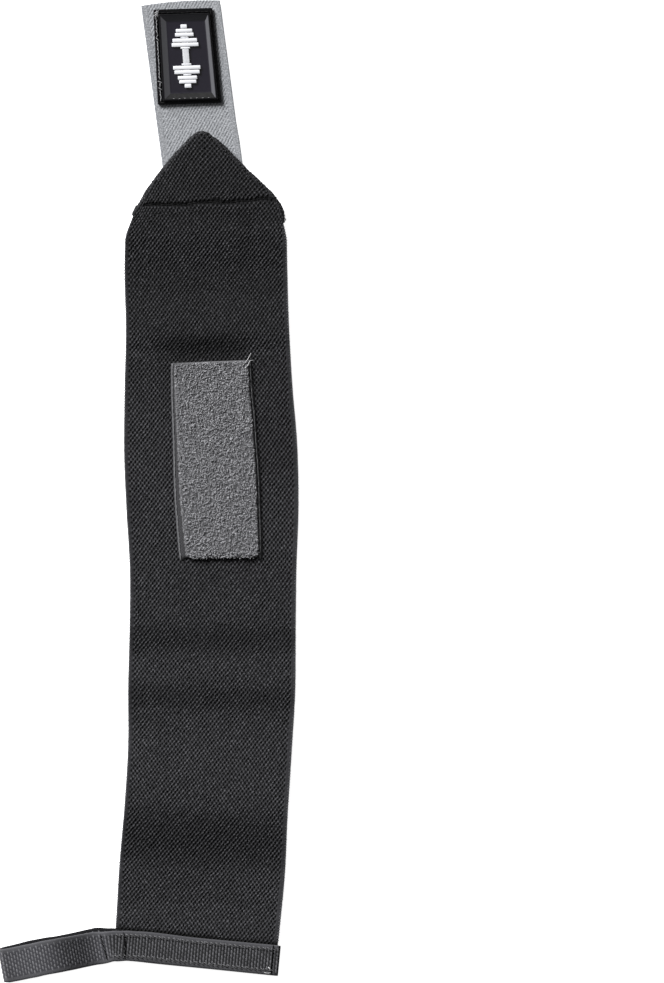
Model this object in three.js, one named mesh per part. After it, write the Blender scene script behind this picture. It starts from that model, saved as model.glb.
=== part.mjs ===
// A weightlifter's wrist wrap, laid out on a table with its outer face up.
// Units are millimetres. +Z is up off the table, +Y runs along the wrap towards its hook tab,
// and +X is across it, away from the thumb loop.

import * as THREE from 'three';

// The air left between two layers that are sewn together
const SEWN_GAP = 0.3;

// Elastic band: one strip of woven elastic whose two end corners are turned under to make a point
const ELASTIC_WIDTH = 80;
const ELASTIC_THICKNESS = 1.8;
const BAND_LENGTH = 403.5;
const WAVE_HEIGHT = 4;
const SHOULDER_RUN = 3;
const TIP_SETTLE_LENGTH = 24;
const END_SETTLE_LENGTH = 16;
const FLAP_HEM = 0.7;

// Hook tape sewn under the point, with its hooks facing the table
const TAB_LENGTH = 99;
const TAB_WIDTH = 38;
const TAB_BACKING = 0.8;
const HOOK_HEIGHT = 1.2;
const TAB_SELVEDGE = 3;
const TAB_SEAM_ALLOWANCE = 2;
const TAB_TURN = THREE.MathUtils.degToRad(3.6);
const TAB_END_SKEW = THREE.MathUtils.degToRad(3.9);
const TAB_END_ARCH = 0.7;

// Moulded badge sewn on the back of the hook tape
const BADGE_WIDTH = 29.5;
const BADGE_LENGTH = 46.5;
const BADGE_CORNER = 1.2;
const BADGE_END_MARGIN = 4;
const BADGE_TURN = THREE.MathUtils.degToRad(-2.9);
const BADGE_FLANGE = 1.1;
const BADGE_FRAME = 2.4;
const BADGE_PANEL = 1.4;
const BADGE_FLANGE_WIDTH = 2.4;
const BADGE_FRAME_WIDTH = 1.1;
const BADGE_BEVEL_WIDTH = 3;
const BADGE_GROOVE_WIDTH = 0.6;
const BADGE_GROOVE_DEPTH = 0.3;
const BADGE_ROUNDING = 0.3;
const MOTIF_LENGTH = 31;
const MOTIF_WIDTH = 13;
const MOTIF_HEIGHT = 0.6;

// Patch of loop tape sewn on the face of the band
const PATCH_WIDTH = 40;
const PATCH_LENGTH = 94.5;
const PATCH_BACKING = 0.7;
const PILE_HEIGHT = 1.3;
const PATCH_SELVEDGE = 1.8;
const PILE_ROUNDING = 0.4;
const PATCH_CORNER = 1.5;
const PATCH_PLACE = 0.605;
const PATCH_ASIDE = 2.3;
const PATCH_TURN = THREE.MathUtils.degToRad(3.3);
const PATCH_FLAT_MARGIN = 3;
const PATCH_EASE_LENGTH = 11;

// Thumb loop: one length of webbing, doubled at its far end and sewn over the raw end of the band
const WEBBING_WIDTH = 16;
const WEBBING_THICKNESS = 1.3;
const BINDING_OVERLAP = 12.6;
const BINDING_OVERHANG = 0.6;
const LOOP_REACH = 52.8;
const LOOP_BEND = THREE.MathUtils.degToRad(16);
const LOOP_BEND_LENGTH = 8;
const LOOP_OPENING = 8;

// How finely the sheets are divided
const BAND_STEP = 8;
const WEBBING_STEP = 5.5;
const FOLD_STEPS = 6;
const TIP_STEPS = 5;
const TURN_STEPS = 8;
const CORNER_STEPS = 3;
const HEADING_STEP = 2;
const FLAP_ROWS = [0.5, 1];
const WEBBING_COLUMNS = [0.5, 0.25, 0, -0.25, -0.5];

// The band as it lies, from its raw end (along 0) to its point (along 1).
// along is a share of BAND_LENGTH, sideways and width are shares of ELASTIC_WIDTH.
const BAND_SECTIONS = [
  { along: 0, sideways: 0, width: 0.996 },
  { along: 0.057, sideways: 0.024, width: 1.011 },
  { along: 0.111, sideways: 0.045, width: 1.021 },
  { along: 0.183, sideways: 0.07, width: 1.006 },
  { along: 0.255, sideways: 0.092, width: 1.008 },
  { along: 0.327, sideways: 0.103, width: 1.029 },
  { along: 0.4, sideways: 0.109, width: 1.023 },
  { along: 0.472, sideways: 0.112, width: 1.026 },
  { along: 0.544, sideways: 0.108, width: 1.059 },
  { along: 0.616, sideways: 0.097, width: 1.067 },
  { along: 0.688, sideways: 0.084, width: 1.035 },
  { along: 0.761, sideways: 0.078, width: 1.005 },
  { along: 0.833, sideways: 0.067, width: 1.006 },
  { along: 0.869, sideways: 0.072, width: 1.006 },
  { along: 0.888, sideways: 0.079, width: 0.981 },
  { along: 0.915, sideways: 0.07, width: 0.951 },
  { along: 1, sideways: 0.0485, width: 0.911 },
];

// Soft waves across the band where it stands off the table.
// along is a share of BAND_LENGTH, lift a share of WAVE_HEIGHT.
const BAND_WAVES = [
  { along: 0, lift: 0 },
  { along: 0.111, lift: 0 },
  { along: 0.185, lift: 1 },
  { along: 0.301, lift: 0.05 },
  { along: 0.333, lift: 0.35 },
  { along: 0.373, lift: 0.1 },
  { along: 0.406, lift: 0.4 },
  { along: 0.466, lift: 0.1 },
  { along: 0.605, lift: 0.1 },
  { along: 0.761, lift: 0.5 },
  { along: 0.809, lift: 0.15 },
  { along: 1, lift: 0 },
];

// The line on which the end of the strip is turned under, from one shoulder over the point to the other.
// across and down are shares of half of ELASTIC_WIDTH, down being measured from the point.
const POINT_FOLD = [
  { across: -0.9, down: 1.05 },
  { across: -0.81, down: 0.84 },
  { across: -0.47, down: 0.39 },
  { across: -0.115, down: 0.09 },
  { across: -0.035, down: 0.021 },
  { across: 0, down: 0.01 },
  { across: 0.035, down: 0.021 },
  { across: 0.115, down: 0.093 },
  { across: 0.395, down: 0.395 },
  { across: 0.83, down: 0.84 },
  { across: 0.915, down: 1.05 },
];

// Where the columns of the band's mesh meet the fold, as shares of its length on one side of the point
const FOLD_COLUMNS = [0.03, 0.08, 0.18, 0.34, 0.5, 0.66, 0.82, 0.93, 1];

// The row of stitching that holds the turned-under corners and the tab, as a share of half of
// ELASTIC_WIDTH below the point
const SEAM_DROP = 0.86;

// One layer of webbing, from its cut end to the doubled end of the loop. sewn is a share of the stretch
// on the band and loop a share of LOOP_REACH; width is a share of WEBBING_WIDTH. seat is 1 where the
// front layer lies on the band, open is its height over the rear layer as a share of LOOP_OPENING, and
// shift is how far the rear layer lies to the side, as a share of WEBBING_WIDTH.
const WEBBING_SECTIONS = [
  { sewn: 0, loop: 0, width: 0.965, seat: 1, open: 0, shift: -0.03 },
  { sewn: 0.5, loop: 0, width: 0.95, seat: 1, open: 0, shift: -0.03 },
  { sewn: 0.93, loop: 0, width: 0.92, seat: 1, open: 0, shift: -0.01 },
  { sewn: 1, loop: 0.02, width: 0.9, seat: 1, open: 0, shift: 0.03 },
  { sewn: 1, loop: 0.15, width: 0.97, seat: 0, open: 0, shift: 0.09 },
  { sewn: 1, loop: 0.55, width: 1, seat: 0, open: 1, shift: 0.06 },
  { sewn: 1, loop: 1, width: 1, seat: 0, open: 0.38, shift: 0.01 },
];

// The stepped outline of a plain barbell, from one end to its middle.
// to is a share of MOTIF_LENGTH, reach a share of half of MOTIF_WIDTH.
const BARBELL_STEPS = [
  { to: 0.07, reach: 0.24 },
  { to: 0.19, reach: 0.7 },
  { to: 0.22, reach: 0.24 },
  { to: 0.35, reach: 1 },
  { to: 0.5, reach: 0.24 },
];

const tabThickness = HOOK_HEIGHT + TAB_BACKING;
const foldRadius = (ELASTIC_THICKNESS + SEWN_GAP) / 2;
const foldOutside = foldRadius + ELASTIC_THICKNESS / 2;
const halfElastic = ELASTIC_WIDTH / 2;
const flapMiddle = tabThickness + SEWN_GAP + ELASTIC_THICKNESS / 2;
const tipSeat = tabThickness + 2 * SEWN_GAP + ELASTIC_THICKNESS;
const endSeat = WEBBING_THICKNESS + SEWN_GAP;
const lowestFold = Math.max(...POINT_FOLD.map((row) => row.down)) * halfElastic;
const shoulderAlong = BAND_LENGTH - foldOutside - lowestFold - SHOULDER_RUN;
const seamAlong = BAND_LENGTH - SEAM_DROP * halfElastic;
const patchAlong = PATCH_PLACE * BAND_LENGTH;
const rearMiddle = WEBBING_THICKNESS / 2;
const closedMiddle = rearMiddle + WEBBING_THICKNESS + SEWN_GAP;
const sewnLength = ELASTIC_WIDTH + BINDING_OVERHANG;

// Eases from 0 to 1 with a level start and end
function ease(value) {
  return THREE.MathUtils.smoothstep(value, 0, 1);
}

// Reads one column of a table, eased from row to row
function easedColumn(rows, place, key, at) {
  const next = rows.findIndex((row) => place(row) >= at);
  if (next === 0) {
    return rows[0][key];
  }
  if (next < 0) {
    return rows[rows.length - 1][key];
  }
  const from = rows[next - 1];
  const to = rows[next];
  const share = (at - place(from)) / (place(to) - place(from));
  return THREE.MathUtils.lerp(from[key], to[key], ease(share));
}

const bandSpline = new THREE.CubicInterpolant(
  BAND_SECTIONS.map((row) => row.along),
  BAND_SECTIONS.flatMap((row) => [row.sideways, row.width]),
  2,
);

function bandSection(along) {
  const [sideways, width] = bandSpline.evaluate(along / BAND_LENGTH);
  return { sideways: sideways * ELASTIC_WIDTH, width: width * ELASTIC_WIDTH };
}

// The direction in which the band runs at a place along it
function bandHeading(along) {
  const ahead = bandSection(along + HEADING_STEP / 2).sideways;
  const behind = bandSection(along - HEADING_STEP / 2).sideways;
  return new THREE.Vector3(ahead - behind, HEADING_STEP, 0).normalize();
}

// How far the underside of the band's face layer stands off the table
function bandLift(along) {
  const wave = easedColumn(BAND_WAVES, (row) => row.along, 'lift', along / BAND_LENGTH);
  const fromPatch = Math.abs(along - patchAlong) - PATCH_LENGTH / 2 - PATCH_FLAT_MARGIN;
  const clearOfPatch = ease(fromPatch / PATCH_EASE_LENGTH);
  const onWebbing = 1 - ease((along - BINDING_OVERLAP - SEWN_GAP) / END_SETTLE_LENGTH);
  const onTab = ease((along - shoulderAlong + TIP_SETTLE_LENGTH) / TIP_SETTLE_LENGTH);
  const free = clearOfPatch * (1 - onWebbing) * (1 - onTab);
  return WAVE_HEIGHT * wave * free + endSeat * onWebbing + tipSeat * onTab;
}

// A point of the band's middle surface, given along and across it
function bandPoint(along, across) {
  const heading = bandHeading(Math.min(along, BAND_LENGTH));
  const centre = bandSection(Math.min(along, BAND_LENGTH)).sideways;
  return new THREE.Vector3(
    centre + heading.y * across,
    along - heading.x * across,
    bandLift(along) + ELASTIC_THICKNESS / 2,
  );
}

// Gives each point of a grid the normal of the surface through its neighbours
function gridNormals(grid) {
  return grid.map((row, i) => row.map((point, j) => {
    const above = grid[Math.min(i + 1, grid.length - 1)][j];
    const below = grid[Math.max(i - 1, 0)][j];
    const right = row[Math.min(j + 1, row.length - 1)];
    const left = row[Math.max(j - 1, 0)];
    const across = new THREE.Vector3().subVectors(right, left);
    const along = new THREE.Vector3().subVectors(above, below);
    return across.cross(along).normalize();
  }));
}

// Makes a closed sheet of one thickness from a grid of points on its middle surface
function sheetGeometry(grid, thickness) {
  const normals = gridNormals(grid);
  const columns = grid[0].length;
  const layer = grid.length * columns;
  const positions = [];
  const index = [];
  const quad = (a, b, c, d) => index.push(a, b, c, a, c, d);
  for (const side of [0.5, -0.5]) {
    grid.forEach((row, i) => row.forEach((point, j) => {
      const moved = point.clone().addScaledVector(normals[i][j], side * thickness);
      positions.push(moved.x, moved.y, moved.z);
    }));
  }
  for (let i = 0; i + 1 < grid.length; i += 1) {
    for (let j = 0; j + 1 < columns; j += 1) {
      const corner = i * columns + j;
      const beyond = corner + columns;
      quad(corner, corner + 1, beyond + 1, beyond);
      quad(layer + corner, layer + beyond, layer + beyond + 1, layer + corner + 1);
    }
  }
  const border = [];
  for (let j = 0; j < columns - 1; j += 1) {
    border.push(j);
  }
  for (let i = 0; i < grid.length - 1; i += 1) {
    border.push(i * columns + columns - 1);
  }
  for (let j = columns - 1; j > 0; j -= 1) {
    border.push((grid.length - 1) * columns + j);
  }
  for (let i = grid.length - 1; i > 0; i -= 1) {
    border.push(i * columns);
  }
  border.forEach((from, k) => {
    const to = border[(k + 1) % border.length];
    quad(layer + from, layer + to, to, from);
  });
  const geometry = new THREE.BufferGeometry();
  geometry.setAttribute('position', new THREE.Float32BufferAttribute(positions, 3));
  geometry.setIndex(index);
  geometry.computeVertexNormals();
  return geometry;
}

// The rounded rectangle of one ring of a slab, inset from its outline and set at a height
function ringPoints(width, length, corner, ring) {
  const halfWidth = width / 2 - ring.sides;
  const halfLength = length / 2 - ring.ends;
  const radius = corner ** 2 / (corner + Math.max(ring.sides, ring.ends));
  const points = [];
  for (const [signX, signY, turn] of [[1, -1, -0.5], [1, 1, 0], [-1, 1, 0.5], [-1, -1, 1]]) {
    for (let k = 0; k <= CORNER_STEPS; k += 1) {
      const angle = (turn + k / CORNER_STEPS / 2) * Math.PI;
      const x = signX * (halfWidth - radius) + radius * Math.cos(angle);
      const y = signY * (halfLength - radius) + radius * Math.sin(angle);
      points.push(new THREE.Vector3(x, y, ring.height));
    }
  }
  return points;
}

// A closed slab built up from such rings, first the one it stands on and last the one round its top
function ringedSlab(width, length, corner, rings) {
  const loops = rings.map((ring) => ringPoints(width, length, corner, ring));
  const count = loops[0].length;
  const positions = loops.flat().flatMap((point) => point.toArray());
  const index = [];
  for (let i = 0; i + 1 < loops.length; i += 1) {
    for (let k = 0; k < count; k += 1) {
      const from = i * count + k;
      const to = i * count + (k + 1) % count;
      index.push(from, to, to + count, from, to + count, from + count);
    }
  }
  const top = (loops.length - 1) * count;
  for (let k = 1; k + 1 < count; k += 1) {
    index.push(0, k + 1, k);
    index.push(top, top + k, top + k + 1);
  }
  const geometry = new THREE.BufferGeometry();
  geometry.setAttribute('position', new THREE.Float32BufferAttribute(positions, 3));
  geometry.setIndex(index);
  geometry.computeVertexNormals();
  return geometry;
}

function namedMesh(name, geometry, color, roughness) {
  const material = new THREE.MeshStandardMaterial({ color, roughness, metalness: 0 });
  const mesh = new THREE.Mesh(geometry, material);
  mesh.name = name;
  return mesh;
}

// The fold as a smooth curve in the plane of the band, x across it and y along it
function foldCurve() {
  const crest = BAND_LENGTH - foldOutside;
  const points = POINT_FOLD.map((row) => (
    new THREE.Vector3(row.across * halfElastic, crest - row.down * halfElastic, 0)
  ));
  return new THREE.CatmullRomCurve3(points, false, 'centripetal');
}

// One place on the fold for each column of the band's mesh, with the way out of the band there
function foldColumns() {
  const curve = foldCurve();
  const shares = [
    ...FOLD_COLUMNS.map((share) => 0.5 - share / 2).reverse(),
    0.5,
    ...FOLD_COLUMNS.map((share) => 0.5 + share / 2),
  ];
  const ends = [0, 1].map((share) => Math.abs(curve.getPointAt(share).x));
  return shares.map((share) => {
    const place = curve.getPointAt(share);
    const tangent = curve.getTangentAt(share);
    const fromPoint = Math.abs(share - 0.5) * curve.getLength();
    const fromShoulder = curve.getLength() / 2 - fromPoint;
    return {
      place,
      across: place.x / (place.x < 0 ? ends[0] : ends[1]),
      outward: new THREE.Vector3(-tangent.y, tangent.x, 0),
      turnedUnder: Math.min(fromPoint, fromShoulder),
    };
  });
}

// A point of the part that is turned under, by its distance past the fold over the cloth
function turnedPoint(column, distance) {
  const bend = Math.min(distance / foldRadius, Math.PI);
  const back = Math.max(distance - Math.PI * foldRadius, 0);
  const out = foldRadius * Math.sin(bend) - back;
  const place = column.place.clone().addScaledVector(column.outward, out);
  const point = bandPoint(place.y, place.x);
  point.z = flapMiddle + foldRadius * (1 + Math.cos(bend));
  return point;
}

// The band: straight rows up to the shoulders, rows that close in on the fold, then the fold and flaps
function elasticBand() {
  const columns = foldColumns();
  const grid = [];
  const straightRows = Math.round(shoulderAlong / BAND_STEP);
  const acrossAt = (column, along) => column.across * (bandSection(along).width / 2);
  for (let i = 0; i <= straightRows; i += 1) {
    const along = (i / straightRows) * shoulderAlong;
    grid.push(columns.map((column) => bandPoint(along, acrossAt(column, along))));
  }
  for (let i = 1; i <= TIP_STEPS; i += 1) {
    grid.push(columns.map((column) => {
      const share = i / TIP_STEPS;
      const along = THREE.MathUtils.lerp(shoulderAlong, column.place.y, share);
      const start = acrossAt(column, shoulderAlong);
      return bandPoint(along, THREE.MathUtils.lerp(start, column.place.x, share));
    }));
  }
  const bendLength = Math.PI * foldRadius;
  for (let i = 1; i <= FOLD_STEPS; i += 1) {
    grid.push(columns.map((column) => turnedPoint(column, (i / FOLD_STEPS) * bendLength)));
  }
  for (const share of FLAP_ROWS) {
    grid.push(columns.map((column) => {
      const flat = Math.max(column.turnedUnder - bendLength, FLAP_HEM);
      return turnedPoint(column, bendLength + share * flat);
    }));
  }
  return namedMesh('elastic_band', sheetGeometry(grid, ELASTIC_THICKNESS), 0x2b2b2d, 0.95);
}

// The hook tape: a woven backing with the field of hooks under it, between two bare selvedges
function hookTab() {
  const half = TAB_WIDTH / 2;
  const field = half - TAB_SELVEDGE;
  const section = new THREE.Shape([
    new THREE.Vector2(-field, 0),
    new THREE.Vector2(0, 0),
    new THREE.Vector2(field, 0),
    new THREE.Vector2(field, HOOK_HEIGHT),
    new THREE.Vector2(half, HOOK_HEIGHT),
    new THREE.Vector2(half, tabThickness),
    new THREE.Vector2(field, tabThickness),
    new THREE.Vector2(0, tabThickness),
    new THREE.Vector2(-field, tabThickness),
    new THREE.Vector2(-half, tabThickness),
    new THREE.Vector2(-half, HOOK_HEIGHT),
    new THREE.Vector2(-field, HOOK_HEIGHT),
  ]);
  const geometry = new THREE.ExtrudeGeometry(section, { depth: TAB_LENGTH, bevelEnabled: false });
  geometry.rotateX(Math.PI / 2);
  geometry.translate(0, TAB_LENGTH - TAB_SEAM_ALLOWANCE, 0);
  const position = geometry.getAttribute('position');
  for (let k = 0; k < position.count; k += 1) {
    if (position.getY(k) > 0) {
      const across = position.getX(k);
      const arch = TAB_END_ARCH * (1 - (across / half) ** 2);
      position.setY(k, position.getY(k) - across * Math.tan(TAB_END_SKEW) + arch);
    }
  }
  return namedMesh('hook_tab', geometry, 0xa2a4a8, 0.85);
}

// The badge: a sewn flange, a raised frame and a bevel that falls to a sunk panel
function badge() {
  const groove = BADGE_FLANGE_WIDTH - BADGE_GROOVE_WIDTH;
  const crest = BADGE_FLANGE_WIDTH + BADGE_FRAME_WIDTH;
  const rings = [
    { inset: 0, height: 0 },
    { inset: 0, height: BADGE_FLANGE - BADGE_ROUNDING },
    { inset: BADGE_ROUNDING, height: BADGE_FLANGE },
    { inset: groove - BADGE_ROUNDING, height: BADGE_FLANGE },
    { inset: groove, height: BADGE_FLANGE - BADGE_GROOVE_DEPTH },
    { inset: BADGE_FLANGE_WIDTH, height: BADGE_FLANGE - BADGE_GROOVE_DEPTH },
    { inset: BADGE_FLANGE_WIDTH + BADGE_ROUNDING, height: BADGE_FRAME - BADGE_ROUNDING },
    { inset: BADGE_FLANGE_WIDTH + 2 * BADGE_ROUNDING, height: BADGE_FRAME },
    { inset: crest, height: BADGE_FRAME },
    { inset: crest + BADGE_BEVEL_WIDTH, height: BADGE_PANEL },
  ].map((ring) => ({ sides: ring.inset, ends: ring.inset, height: ring.height }));
  const geometry = ringedSlab(BADGE_WIDTH, BADGE_LENGTH, BADGE_CORNER, rings);
  return namedMesh('badge', geometry, 0x1b1b1e, 0.4);
}

// A plain barbell in white rubber, standing on the badge's panel and running along it
function badgeMotif() {
  const side = [];
  let from = -0.5;
  const steps = BARBELL_STEPS.map((step) => ({ to: step.to - 0.5, reach: step.reach }));
  const mirrored = BARBELL_STEPS.map((step, k) => ({
    to: k === 0 ? 0.5 : 0.5 - BARBELL_STEPS[k - 1].to,
    reach: step.reach,
  })).reverse();
  for (const step of [...steps, ...mirrored]) {
    const reach = (step.reach * MOTIF_WIDTH) / 2;
    side.push(new THREE.Vector2(reach, from * MOTIF_LENGTH));
    side.push(new THREE.Vector2(reach, step.to * MOTIF_LENGTH));
    from = step.to;
  }
  const otherSide = side.map((point) => new THREE.Vector2(-point.x, point.y)).reverse();
  const outline = new THREE.Shape([...side, ...otherSide]);
  const geometry = new THREE.ExtrudeGeometry(outline, { depth: MOTIF_HEIGHT, bevelEnabled: false });
  return namedMesh('badge_motif', geometry, 0xe4e5e8, 0.5);
}

// The loop patch: a woven tape with bare selvedges and a thick brushed pile between them
function loopPatch() {
  const thickness = PATCH_BACKING + PILE_HEIGHT;
  const rings = [
    { sides: 0, ends: 0, height: 0 },
    { sides: 0, ends: 0, height: PATCH_BACKING },
    { sides: PATCH_SELVEDGE, ends: PILE_ROUNDING, height: PATCH_BACKING },
    { sides: PATCH_SELVEDGE, ends: PILE_ROUNDING, height: thickness - PILE_ROUNDING },
    { sides: PATCH_SELVEDGE + PILE_ROUNDING, ends: 2 * PILE_ROUNDING, height: thickness },
  ];
  const geometry = ringedSlab(PATCH_WIDTH, PATCH_LENGTH, PATCH_CORNER, rings);
  return namedMesh('loop_patch', geometry, 0x6d6d6f, 1);
}

// How far along its own layer a row of the webbing's table lies
function webbingPlace(row) {
  return row.sewn * sewnLength + row.loop * LOOP_REACH;
}

function webbingColumn(key, reach) {
  return easedColumn(WEBBING_SECTIONS, webbingPlace, key, reach);
}

// The webbing's line seen from above, as points and headings at even steps from its cut end
function webbingLine() {
  const along = BINDING_OVERLAP - WEBBING_WIDTH / 2;
  const bandWay = bandHeading(along);
  const start = new THREE.Vector3(bandSection(along).sideways, along, 0);
  const acrossBand = new THREE.Vector3(bandWay.y, -bandWay.x, 0);
  start.addScaledVector(acrossBand, halfElastic + BINDING_OVERHANG);
  const length = sewnLength + LOOP_REACH;
  const bendStart = sewnLength - LOOP_BEND_LENGTH / 2;
  const firstHeading = Math.atan2(-acrossBand.y, -acrossBand.x);
  const count = Math.round(length / WEBBING_STEP);
  const line = [];
  const point = start.clone();
  for (let k = 0; k <= count; k += 1) {
    const reach = (k / count) * length;
    const turned = ease((reach - bendStart) / LOOP_BEND_LENGTH) * LOOP_BEND;
    const heading = new THREE.Vector3(Math.cos(firstHeading + turned), Math.sin(firstHeading + turned), 0);
    line.push({ reach, heading, point: point.clone() });
    point.addScaledVector(heading, length / count);
  }
  return line;
}

// A row of the webbing's mesh across its line, at a height and a sideways shift
function webbingRow(station, height, shift, reachOut) {
  const side = new THREE.Vector3(-station.heading.y, station.heading.x, 0);
  const width = webbingColumn('width', station.reach) * WEBBING_WIDTH;
  const row = [];
  for (const share of WEBBING_COLUMNS) {
    const point = station.point.clone().addScaledVector(side, -shift - share * width);
    point.addScaledVector(station.heading, reachOut);
    row.push(point.setZ(height));
  }
  return row;
}

// The height of the middle of the front layer
function frontHeight(reach) {
  const onBand = webbingColumn('seat', reach) * (ELASTIC_THICKNESS + SEWN_GAP);
  return closedMiddle + onBand + webbingColumn('open', reach) * LOOP_OPENING;
}

// The thumb loop: out along the rear layer, round the doubled end and back along the front layer
function thumbLoop() {
  const line = webbingLine();
  const last = line[line.length - 1];
  const turnRadius = (frontHeight(last.reach) - rearMiddle) / 2;
  const shiftAt = (reach) => webbingColumn('shift', reach) * WEBBING_WIDTH;
  const grid = line.map((station) => webbingRow(station, rearMiddle, shiftAt(station.reach), 0));
  for (let k = 1; k < TURN_STEPS; k += 1) {
    const angle = (k / TURN_STEPS) * Math.PI;
    const height = rearMiddle + turnRadius * (1 - Math.cos(angle));
    const shift = shiftAt(last.reach) * (1 - k / TURN_STEPS);
    grid.push(webbingRow(last, height, shift, turnRadius * Math.sin(angle)));
  }
  for (const station of [...line].reverse()) {
    grid.push(webbingRow(station, frontHeight(station.reach), 0, 0));
  }
  return namedMesh('thumb_loop', sheetGeometry(grid, WEBBING_THICKNESS), 0x4c4c4f, 0.8);
}

// The tab with its badge, turned a little off the band's own line as it was sewn
function tabGroup() {
  const heading = bandHeading(seamAlong);
  const group = new THREE.Group();
  group.position.set(bandSection(seamAlong).sideways, seamAlong, 0);
  group.rotation.z = Math.atan2(-heading.x, heading.y) + TAB_TURN;
  const sewnBadge = new THREE.Group();
  const badgeMiddle = TAB_LENGTH - TAB_SEAM_ALLOWANCE - BADGE_END_MARGIN - BADGE_LENGTH / 2;
  sewnBadge.position.set(0, badgeMiddle, tabThickness + SEWN_GAP);
  sewnBadge.rotation.z = BADGE_TURN;
  const motif = badgeMotif();
  motif.position.z = BADGE_PANEL + SEWN_GAP;
  sewnBadge.add(badge(), motif);
  group.add(hookTab(), sewnBadge);
  return group;
}

function patchGroup() {
  const heading = bandHeading(patchAlong);
  const group = new THREE.Group();
  const centre = bandPoint(patchAlong, PATCH_ASIDE);
  group.position.set(centre.x, centre.y, ELASTIC_THICKNESS + SEWN_GAP);
  group.rotation.z = Math.atan2(-heading.x, heading.y) + PATCH_TURN;
  group.add(loopPatch());
  return group;
}

const wrap = new THREE.Group();
wrap.add(elasticBand(), thumbLoop(), tabGroup(), patchGroup());
wrap.updateMatrixWorld(true);

// The origin is on the table, under the middle of the whole
const extent = new THREE.Box3().setFromObject(wrap, true);
const middle = extent.getCenter(new THREE.Vector3());
wrap.position.set(-middle.x, -middle.y, -extent.min.z);

export default wrap;
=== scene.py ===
# %% [markdown]
# # A wrist wrap, laid out on a table
# A wrist wrap is a strip of thick elastic that a lifter winds round the wrist. This one has a
# pointed end with a hook tab and a rubber badge, a patch of loop pile on its face, and a thumb
# loop of webbing sewn over its other end. The solids come from the CAD file. Here each of them
# gets the cloth, threads, ribs and loops that the eye expects, in the same place and size.

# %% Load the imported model
import math

import bpy
import numpy as np
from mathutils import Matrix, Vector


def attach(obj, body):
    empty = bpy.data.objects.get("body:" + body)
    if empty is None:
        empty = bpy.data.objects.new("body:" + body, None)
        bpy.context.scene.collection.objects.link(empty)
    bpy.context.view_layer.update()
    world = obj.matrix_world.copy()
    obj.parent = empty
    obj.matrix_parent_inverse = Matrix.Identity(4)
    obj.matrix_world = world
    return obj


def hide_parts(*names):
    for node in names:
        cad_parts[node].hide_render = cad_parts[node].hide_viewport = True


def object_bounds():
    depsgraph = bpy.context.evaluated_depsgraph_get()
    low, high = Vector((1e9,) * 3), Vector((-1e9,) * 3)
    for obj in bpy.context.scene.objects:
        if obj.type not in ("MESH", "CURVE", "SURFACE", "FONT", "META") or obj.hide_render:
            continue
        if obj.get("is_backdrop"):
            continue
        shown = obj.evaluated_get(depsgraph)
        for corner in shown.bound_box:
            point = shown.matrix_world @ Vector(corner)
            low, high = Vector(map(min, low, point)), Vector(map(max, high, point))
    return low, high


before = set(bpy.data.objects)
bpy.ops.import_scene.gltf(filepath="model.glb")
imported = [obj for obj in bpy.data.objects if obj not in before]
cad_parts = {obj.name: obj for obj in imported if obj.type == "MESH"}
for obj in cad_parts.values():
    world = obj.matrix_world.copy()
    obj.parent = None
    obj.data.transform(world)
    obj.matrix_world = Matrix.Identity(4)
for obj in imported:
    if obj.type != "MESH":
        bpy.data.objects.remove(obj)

cad_low, cad_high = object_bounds()
print("nodes:", ", ".join(sorted(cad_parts)))
print("size in mm:", [round(1000 * (high - low), 1) for low, high in zip(cad_low, cad_high)])

# %% [markdown]
# ## Camera, light and floor
# The wrap was photographed from straight above with a long lens, so the camera looks straight
# down from far away and nothing looks nearer than the rest. The photograph covers 477 mm of table
# from top to bottom, and the wrap fills its left half.

# %% Place the camera
LENS = 300.0
SENSOR = 36.0
VIEW_LENGTH = 0.4768
VIEW_CENTRE = (0.08906, -0.0001)
FACE_HEIGHT = 0.003

camera_data = bpy.data.cameras.new("overhead")
camera_data.lens = LENS
camera_data.sensor_width = SENSOR
camera = bpy.data.objects.new("overhead", camera_data)
camera.location = (*VIEW_CENTRE, FACE_HEIGHT + VIEW_LENGTH * LENS / SENSOR)
bpy.context.scene.collection.objects.link(camera)
bpy.context.scene.camera = camera
bpy.context.scene.view_settings.view_transform = "Standard"
print("camera height in m:", round(camera.location.z, 3))

# %% [markdown]
# Cloth shows its weave and its folds when light comes in low from one side. One large soft lamp
# stands far off at the upper left and does nearly all the work. A wide weak one overhead gives the
# rubber something to reflect, and a pale room fills the shadows a little.

# %% Light the table
def add_lamp(name, place, width, power):
    """A square soft lamp that faces the middle of the table."""
    lamp = bpy.data.lights.new(name, "AREA")
    lamp.shape = "SQUARE"
    lamp.size = width
    lamp.energy = power
    holder = bpy.data.objects.new(name, lamp)
    holder.location = place
    towards = -holder.location
    holder.rotation_euler = towards.to_track_quat("-Z", "Y").to_euler()
    bpy.context.scene.collection.objects.link(holder)
    return holder


key_lamp = add_lamp("key", (-4.7, 5.3, 3.76), 3.0, 1900.0)
top_lamp = add_lamp("overhead_fill", (0.0, 0.5, 7.0), 5.0, 30.0)
room = bpy.data.worlds.new("pale_room")
room.use_nodes = True
room.node_tree.nodes["Background"].inputs["Color"].default_value = (1.0, 1.0, 1.0, 1.0)
room.node_tree.nodes["Background"].inputs["Strength"].default_value = 0.1
bpy.context.scene.world = room
print("lamps:", key_lamp.name, top_lamp.name)

# %% [markdown]
# ## Small tools
# Colours are written as the hex values one would pick from a picture, and turned into the linear
# values that the renderer works with. One function adds a shader node with its settings, values
# and links, and another starts a material from the usual values of a rough dielectric.

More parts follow.
